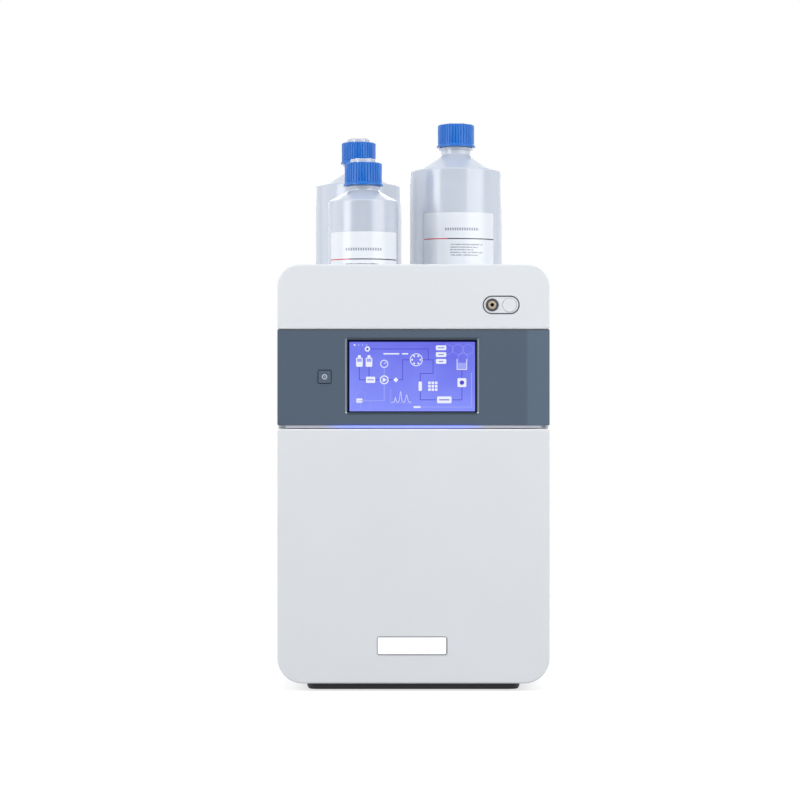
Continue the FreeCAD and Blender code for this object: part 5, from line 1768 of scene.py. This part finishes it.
@dataclass
class Fasteners:
    """Screws on the back, inside the flow compartment and on the door's liner."""

    pan_radius: float = 0.0032
    pan_height: float = 0.0018
    cap_radius: float = 0.0025
    cap_height: float = 0.0022
    panel_inset: float = 0.011
    panel_sides: tuple[float, ...] = (0.12, 0.37, 0.63, 0.88)
    panel_top: float = 0.28
    fan_half: float = 0.0357
    entry_gap: float = 0.006
    ports_gap: float = 0.004
    valve_flange: float = 0.004
    valve_half: float = 0.025
    pump_plate: float = 0.008
    pump_half: float = 0.037
    pump_z: float = 0.245
    detector_half: Point = (0.024, 0.023)
    detector_z: float = 0.078
    liner_half: Point = (0.147, 0.1328)
    liner_middle: Point = (0.0, 0.179)
    back: float = field(init=False)

    def build(self) -> None:
        """Builds each group of screws."""
        self.back = Extent.of("rear_panel").high.y
        self.rear_panel_screws()
        self.fan_screws()
        self.inlet_screws()
        self.compartment_screws()
        self.liner_screws()

    def group(self, name: str, points: Iterable[Vector], axis: Vector, recess: Recess,
              body: str = "cabinet") -> None:
        """Builds one group of equal screws.

        Args:
            name: The group's name.
            points: Where the heads seat.
            axis: The way the heads look.
            recess: Their drive.
            body: The body that they ride on.
        """
        radius, height = (self.pan_radius, self.pan_height)
        if recess is Recess.HEX:
            radius, height = (self.cap_radius, self.cap_height)
        form = Form()
        for number, point in enumerate(points):
            form.screw(point, axis, radius, height, recess, 37.0 * number)
        form.build(name, STEEL, body, "bright_steel")

    @staticmethod
    def corners(middle: Point, half: Point, face: float) -> list[Vector]:
        """Seats at the four corners of a rectangle on an upright face.

        Args:
            middle: The rectangle's middle, as x and z.
            half: Half its width and half its height.
            face: The face's y.

        Returns:
            The four seats.
        """
        return [Vector((middle[0] + side * half[0], face, middle[1] + level * half[1]))
                for side in (-1, 1) for level in (-1, 1)]

    def rear_panel_screws(self) -> None:
        """Screws round the edge of the back panel."""
        panel = Extent.of("rear_panel")
        points = []
        for side in (-1, 1):
            x = panel.middle.x + side * (panel.size.x / 2 - self.panel_inset)
            heights = [panel.low.z + share * panel.size.z for share in self.panel_sides]
            points += [Vector((x, self.back, z)) for z in heights]
        for share in (-self.panel_top, self.panel_top):
            points.append(Vector((share * panel.size.x, self.back, panel.high.z - self.panel_inset)))
        self.group("rear_panel_screws", points, BACK, Recess.CROSS)

    def fan_screws(self) -> None:
        """Four screws that hold the fan behind its guard."""
        fan = Extent.of("fan_housing").middle
        points = self.corners((fan.x, fan.z), (self.fan_half, self.fan_half), self.back)
        self.group("fan_screws", points, BACK, Recess.CROSS)

    def inlet_screws(self) -> None:
        """Screws beside the power entry and the data sockets."""
        points = []
        for node, gap in (("power_entry", self.entry_gap), ("data_ports", self.ports_gap)):
            unit = Extent.of(node)
            reach = unit.size.x / 2 + gap
            points += [Vector((unit.middle.x + side * reach, self.back, unit.middle.z)) for side in (-1, 1)]
        self.group("inlet_screws", points, BACK, Recess.CROSS)

    def compartment_screws(self) -> None:
        """Socket screws in the faces of the units on the bulkhead."""
        wall = Extent.of("bulkhead").low.y
        valve = Extent.of("injection_valve").middle
        pump = Extent.of("peristaltic_pump").middle
        detector = Extent.of("conductivity_detector")
        valve_face = wall - self.valve_flange
        pump_face = wall - self.pump_plate
        points = self.corners((valve.x, valve.z), (self.valve_half, self.valve_half), valve_face)
        points += self.corners((pump.x, self.pump_z), (self.pump_half, self.pump_half), pump_face)
        points += self.corners((detector.middle.x, self.detector_z), self.detector_half, detector.low.y)
        self.group("compartment_screws", points, FRONT, Recess.HEX)

    def liner_screws(self) -> None:
        """Screws near the corners of the door's liner."""
        points = self.corners(self.liner_middle, self.liner_half, Extent.of("door_liner").high.y)
        self.group("liner_screws", points, BACK, Recess.CROSS, "door")


@dataclass(frozen=True)
class LineEnd:
    """One end of a thin line: its place, the way it looks and how far the line runs straight from it."""

    place: Vector
    out: Vector
    straight: float = 0.012

    @property
    def clear(self) -> Vector:
        """Where the straight stretch ends."""
        return self.place + self.out * self.straight


@dataclass
class Capillaries:
    """The thin lines between the pump, valve, column, suppressor and detector.

    The bends are points that a line rounds on its way; the exits are where lines pass the bulkhead.
    """

    line_radius: float = 0.0008
    inlet_radius: float = 0.0015
    valve_circle: float = 0.009
    suppressor_circle: float = 0.012
    detector_port_x: float = 0.016
    detector_lid: float = 0.003
    check_radius: float = 0.0065
    seat_radius: float = 0.0036
    seat_height: float = 0.0016
    valve_bend: Place = (0.006, -0.160, 0.207)
    column_bends: tuple[Place, Place] = ((0.040, -0.140, 0.042), (0.070, -0.160, 0.110))
    detector_bend: Place = (0.1275, -0.164, 0.142)
    detector_exit: Point = (0.074, 0.132)
    suppressor_bend: Place = (0.115, -0.164, 0.205)
    suppressor_exit: Point = (0.115, 0.212)
    inlet_exits: tuple[Point, Point] = ((-0.102, 0.040), (-0.086, 0.040))
    wall: float = field(init=False)
    lines: Form = field(init=False)
    seats: Form = field(init=False)
    inlets: Form = field(init=False)

    def build(self) -> None:
        """Builds the lines and the seats where they pass the bulkhead."""
        self.wall = Extent.of("bulkhead").low.y
        self.lines, self.seats, self.inlets = Form(), Form(), Form()
        self.flow_lines()
        self.supply_lines()
        self.lines.build("capillaries", BEIGE, "cabinet", "polymer_beige")
        self.inlets.build("inlet_lines", INSERT, "cabinet", "insert_clear")
        self.seats.build("line_seats", RUBBER, "cabinet", "dark_rubber", 0.0003)

    def flow_lines(self) -> None:
        """Lines from the pump over valve, column and suppressor to the detector, and those to the back."""
        valve, suppressor = Extent.of("injection_valve"), Extent.of("suppressor")
        column, manifold = Extent.of("analytical_column"), Extent.of("pump_manifold")
        detector = Extent.of("conductivity_detector")
        ports = {turn: self.port(valve, self.valve_circle, turn) for turn in (60, 120, 240, 300)}
        cell = {turn: self.port(suppressor, self.suppressor_circle, turn) for turn in (90, 210, 330)}
        outlet = Vector((manifold.high.x, manifold.middle.y, manifold.middle.z))
        self.run(LineEnd(outlet, RIGHT), LineEnd(ports[120], FRONT, 0.023), self.valve_bend)
        head = Vector((column.middle.x, column.middle.y, column.high.z))
        tail = Vector((column.middle.x, column.middle.y, column.low.z))
        self.run(LineEnd(ports[240], FRONT, 0.014), LineEnd(head, UP, 0.013))
        self.run(LineEnd(tail, -UP), LineEnd(cell[210], FRONT), *self.column_bends)
        depth = self.wall - detector.low.y - self.detector_lid
        top = Vector((detector.middle.x, self.wall - depth / 2, detector.high.z))
        aside = RIGHT * self.detector_port_x
        self.run(LineEnd(cell[330], FRONT), LineEnd(top + aside, UP), self.detector_bend)
        self.pass_wall(LineEnd(top - aside, UP, 0.010), self.detector_exit, straight=0.008)
        self.pass_wall(LineEnd(cell[90], FRONT), self.suppressor_exit, self.suppressor_bend)
        low, high = ports[300], ports[60]
        self.pass_wall(LineEnd(low, FRONT, 0.016), (low.x, 0.198), (low.x, -0.157, 0.204))
        self.pass_wall(LineEnd(high, FRONT, 0.019), (high.x, 0.294), (high.x, -0.160, 0.288))

    def supply_lines(self) -> None:
        """The two wider lines from the pump's lower valves to the bulkhead."""
        checks = Extent.of("check_valves")
        columns = (checks.low.x + self.check_radius, checks.high.x - self.check_radius)
        for x, exit_place in zip(columns, self.inlet_exits):
            start = LineEnd(Vector((x, checks.middle.y, checks.low.z)), -UP, 0.014)
            self.pass_wall(start, exit_place, straight=0.012, inlet=True)

    @staticmethod
    def port(unit: Extent, circle: float, turn: float) -> Vector:
        """A port on the front of a unit, by the angle on its circle.

        Args:
            unit: The unit's box.
            circle: Radius of the circle that its ports lie on.
            turn: The port's angle in degrees.

        Returns:
            The port's place.
        """
        angle = math.radians(turn)
        across, upward = circle * math.cos(angle), circle * math.sin(angle)
        return Vector((unit.middle.x + across, unit.low.y, unit.middle.z + upward))

    def run(self, first: LineEnd, last: LineEnd, *bends: Place) -> None:
        """Adds a line between two ports.

        Args:
            first: The line's first end.
            last: Its other end.
            bends: Points between them.
        """
        corners = [Vector(bend) for bend in bends]
        self.lines.tube([first.place, first.clear, *corners, last.clear, last.place], self.line_radius)

    def pass_wall(self, first: LineEnd, exit_place: Point, *bends: Place, straight: float = 0.030,
                  inlet: bool = False) -> None:
        """Adds a line from a port through the bulkhead, with its seat.

        Args:
            first: The line's end at the port.
            exit_place: Where it passes the bulkhead, as x and z.
            bends: Points between them.
            straight: How far it goes straight to the bulkhead.
            inlet: Whether it is a wider supply line.
        """
        last = LineEnd(Vector((exit_place[0], self.wall, exit_place[1])), FRONT, straight)
        corners = [Vector(bend) for bend in bends]
        form, radius = (self.inlets, self.inlet_radius) if inlet else (self.lines, self.line_radius)
        form.tube([first.place, first.clear, *corners, last.clear, last.place], radius)
        self.seats.hoop(regular(exit_place, self.seat_radius, 24), regular(exit_place, radius, 24),
                        self.wall - self.seat_height, self.wall)


@dataclass
class Dressing:
    """Finishes for the nodes that stay as they are."""

    def build(self) -> None:
        """Gives every node its finish by its slot, then the few that have their own."""
        for row in frame["record"]["subparts"]:
            finish = SLOT_FINISHES.get(row["material_slot"], WHITE)
            self.dress(row["node"], finish)
        button = Extent.of("power_button")
        centre = (button.middle.x, button.middle.z)
        self.dress("power_button", KeyPlastic("power_key", SLATE.colour, SLATE.roughness, centre=centre))
        self.dress("name_plate", PLATE_METAL)
        port = Extent.of("needle_port")
        self.dress("needle_port", NeedleSeat("needle_seat", (port.middle.x, port.middle.z)))
        LOG.info("%d nodes dressed", len(frame["nodes"]))

    @staticmethod
    def dress(node: str, finish: Finish) -> None:
        """Puts a finish in every material slot of a node."""
        for slot in frame["nodes"][node].material_slots:
            slot.material = finish.material()


@dataclass(frozen=True)
class Softbox:
    """A soft rectangular lamp.

    The radiance says how bright its face is: 1 is as bright as white paper in full light.
    """

    name: str
    place: Place
    width: float
    height: float
    radiance: float

    def build(self, target: Vector) -> None:
        """Adds the lamp.

        Args:
            target: What it looks at.
        """
        data = bpy.data.lights.new(self.name, "AREA")
        data.shape = "RECTANGLE"
        data.size = self.width
        data.size_y = self.height
        data.energy = self.radiance * math.pi * self.width * self.height
        lamp = bpy.data.objects.new(self.name, data)
        lamp.location = self.place
        lamp.rotation_euler = (target - Vector(self.place)).to_track_quat("-Z", "Y").to_euler()
        bpy.context.scene.collection.objects.link(lamp)


@dataclass
class Studio:
    """Pale floor, white surroundings, soft lamps and the camera."""

    camera_place: Place = (-0.01684, -3.240, 0.364)
    lens: float = 108.2
    sensor: float = 36.0
    view_length: float = 60.0
    ambient: float = 0.36
    floor_half: float = 14.0
    floor_albedo: float = 0.52
    floor_lift: float = 0.66
    fade_start: float = 0.45
    fade_end: float = 1.3
    target: Place = (0.0, 0.0, 0.42)
    lamps: tuple[Softbox, ...] = (
        Softbox("left_softbox", (-1.45, -1.15, 1.16), width=0.86, height=1.6, radiance=3.6),
        Softbox("right_softbox", (1.28, -1.18, 1.16), width=1.45, height=1.6, radiance=2.5),
        Softbox("left_fill", (-2.30, 0.10, 0.90), width=2.0, height=1.9, radiance=0.7),
        Softbox("right_fill", (2.30, 0.10, 0.90), width=2.0, height=1.9, radiance=0.18),
        Softbox("top_softbox", (0.0, -0.25, 2.6), width=1.8, height=1.8, radiance=0.92),
        Softbox("back_softbox", (0.3, 2.4, 1.5), width=2.2, height=1.4, radiance=1.3),
    )

    def build(self) -> None:
        """Builds the whole studio."""
        self.world()
        self.floor()
        for lamp in self.lamps:
            lamp.build(Vector(self.target))
        self.camera()

    def world(self) -> None:
        """White surroundings that light the object at a lower level than they show."""
        world = bpy.data.worlds.new("studio_world")
        world.use_nodes = True
        bpy.context.scene.world = world
        graph = Graph(world.node_tree)
        strength = self.ambient + self.seen(graph) * (1 - self.ambient)
        shader = graph.node("ShaderNodeBackground", None, {"Color": PURE_WHITE, "Strength": strength})
        graph.show(shader, "ShaderNodeOutputWorld")

    @staticmethod
    def seen(graph: Graph) -> Signal:
        """1 for rays from the camera, mirrors and glass, else 0.

        Args:
            graph: The node tree that it adds to.

        Returns:
            The rays' mask.
        """
        path = graph.node("ShaderNodeLightPath").socket.node.outputs
        camera, glossy, through = (Signal(graph, path[name]) for name in
                                   ("Is Camera Ray", "Is Glossy Ray", "Is Transmission Ray"))
        return camera.most(glossy).most(through)

    def floor(self) -> None:
        """A floor that keeps the object's shadow and turns white further out."""
        form = bmesh.new()
        half = self.floor_half
        corners = ((-half, -half), (half, -half), (half, half), (-half, half))
        form.faces.new([form.verts.new((x, y, 0.0)) for x, y in corners])
        mesh = bpy.data.meshes.new("studio_floor")
        form.to_mesh(mesh)
        form.free()
        floor = bpy.data.objects.new("studio_floor", mesh)
        bpy.context.scene.collection.objects.link(floor)
        material = bpy.data.materials.new("studio_floor")
        material.use_nodes = True
        mesh.materials.append(material)
        graph = Graph(material.node_tree)
        x, y, _ = graph.places()
        distance = (x * x + y * y).root()
        far = distance.rise(self.fade_start, self.fade_end)
        paper = graph.node("ShaderNodeBsdfDiffuse", None, {"Color": scaled(PURE_WHITE, self.floor_albedo)})
        lift = graph.node("ShaderNodeEmission", None, {"Color": PURE_WHITE, "Strength": self.floor_lift})
        near = graph.node("ShaderNodeAddShader", None, {0: paper, 1: lift})
        white = graph.node("ShaderNodeEmission", None, {"Color": PURE_WHITE, "Strength": 1.0})
        shown = graph.node("ShaderNodeMixShader", None, {0: far, 1: near, 2: white})
        graph.show(graph.node("ShaderNodeMixShader", None, {0: self.seen(graph), 1: paper, 2: shown}))

    def camera(self) -> None:
        """A level camera in front of the object."""
        data = bpy.data.cameras.new("camera")
        data.lens = self.lens
        data.sensor_width = self.sensor
        data.clip_end = self.view_length
        camera = bpy.data.objects.new("camera", data)
        camera.location = self.camera_place
        camera.rotation_euler = (math.radians(90), 0.0, 0.0)
        bpy.context.scene.collection.objects.link(camera)
        bpy.context.scene.camera = camera


def main() -> None:
    """Builds the studio, dresses the nodes and adds the finer pieces."""
    logging.basicConfig(level=logging.INFO, format="%(message)s")
    bpy.context.scene.view_settings.view_transform = "Standard"
    for part in (Studio(), Dressing(), Display(), FrontFittings(), TrayGoods(), Fasteners(), Capillaries()):
        LOG.info("%s", type(part).__name__)
        part.build()


if __name__ == "__main__":
    main()
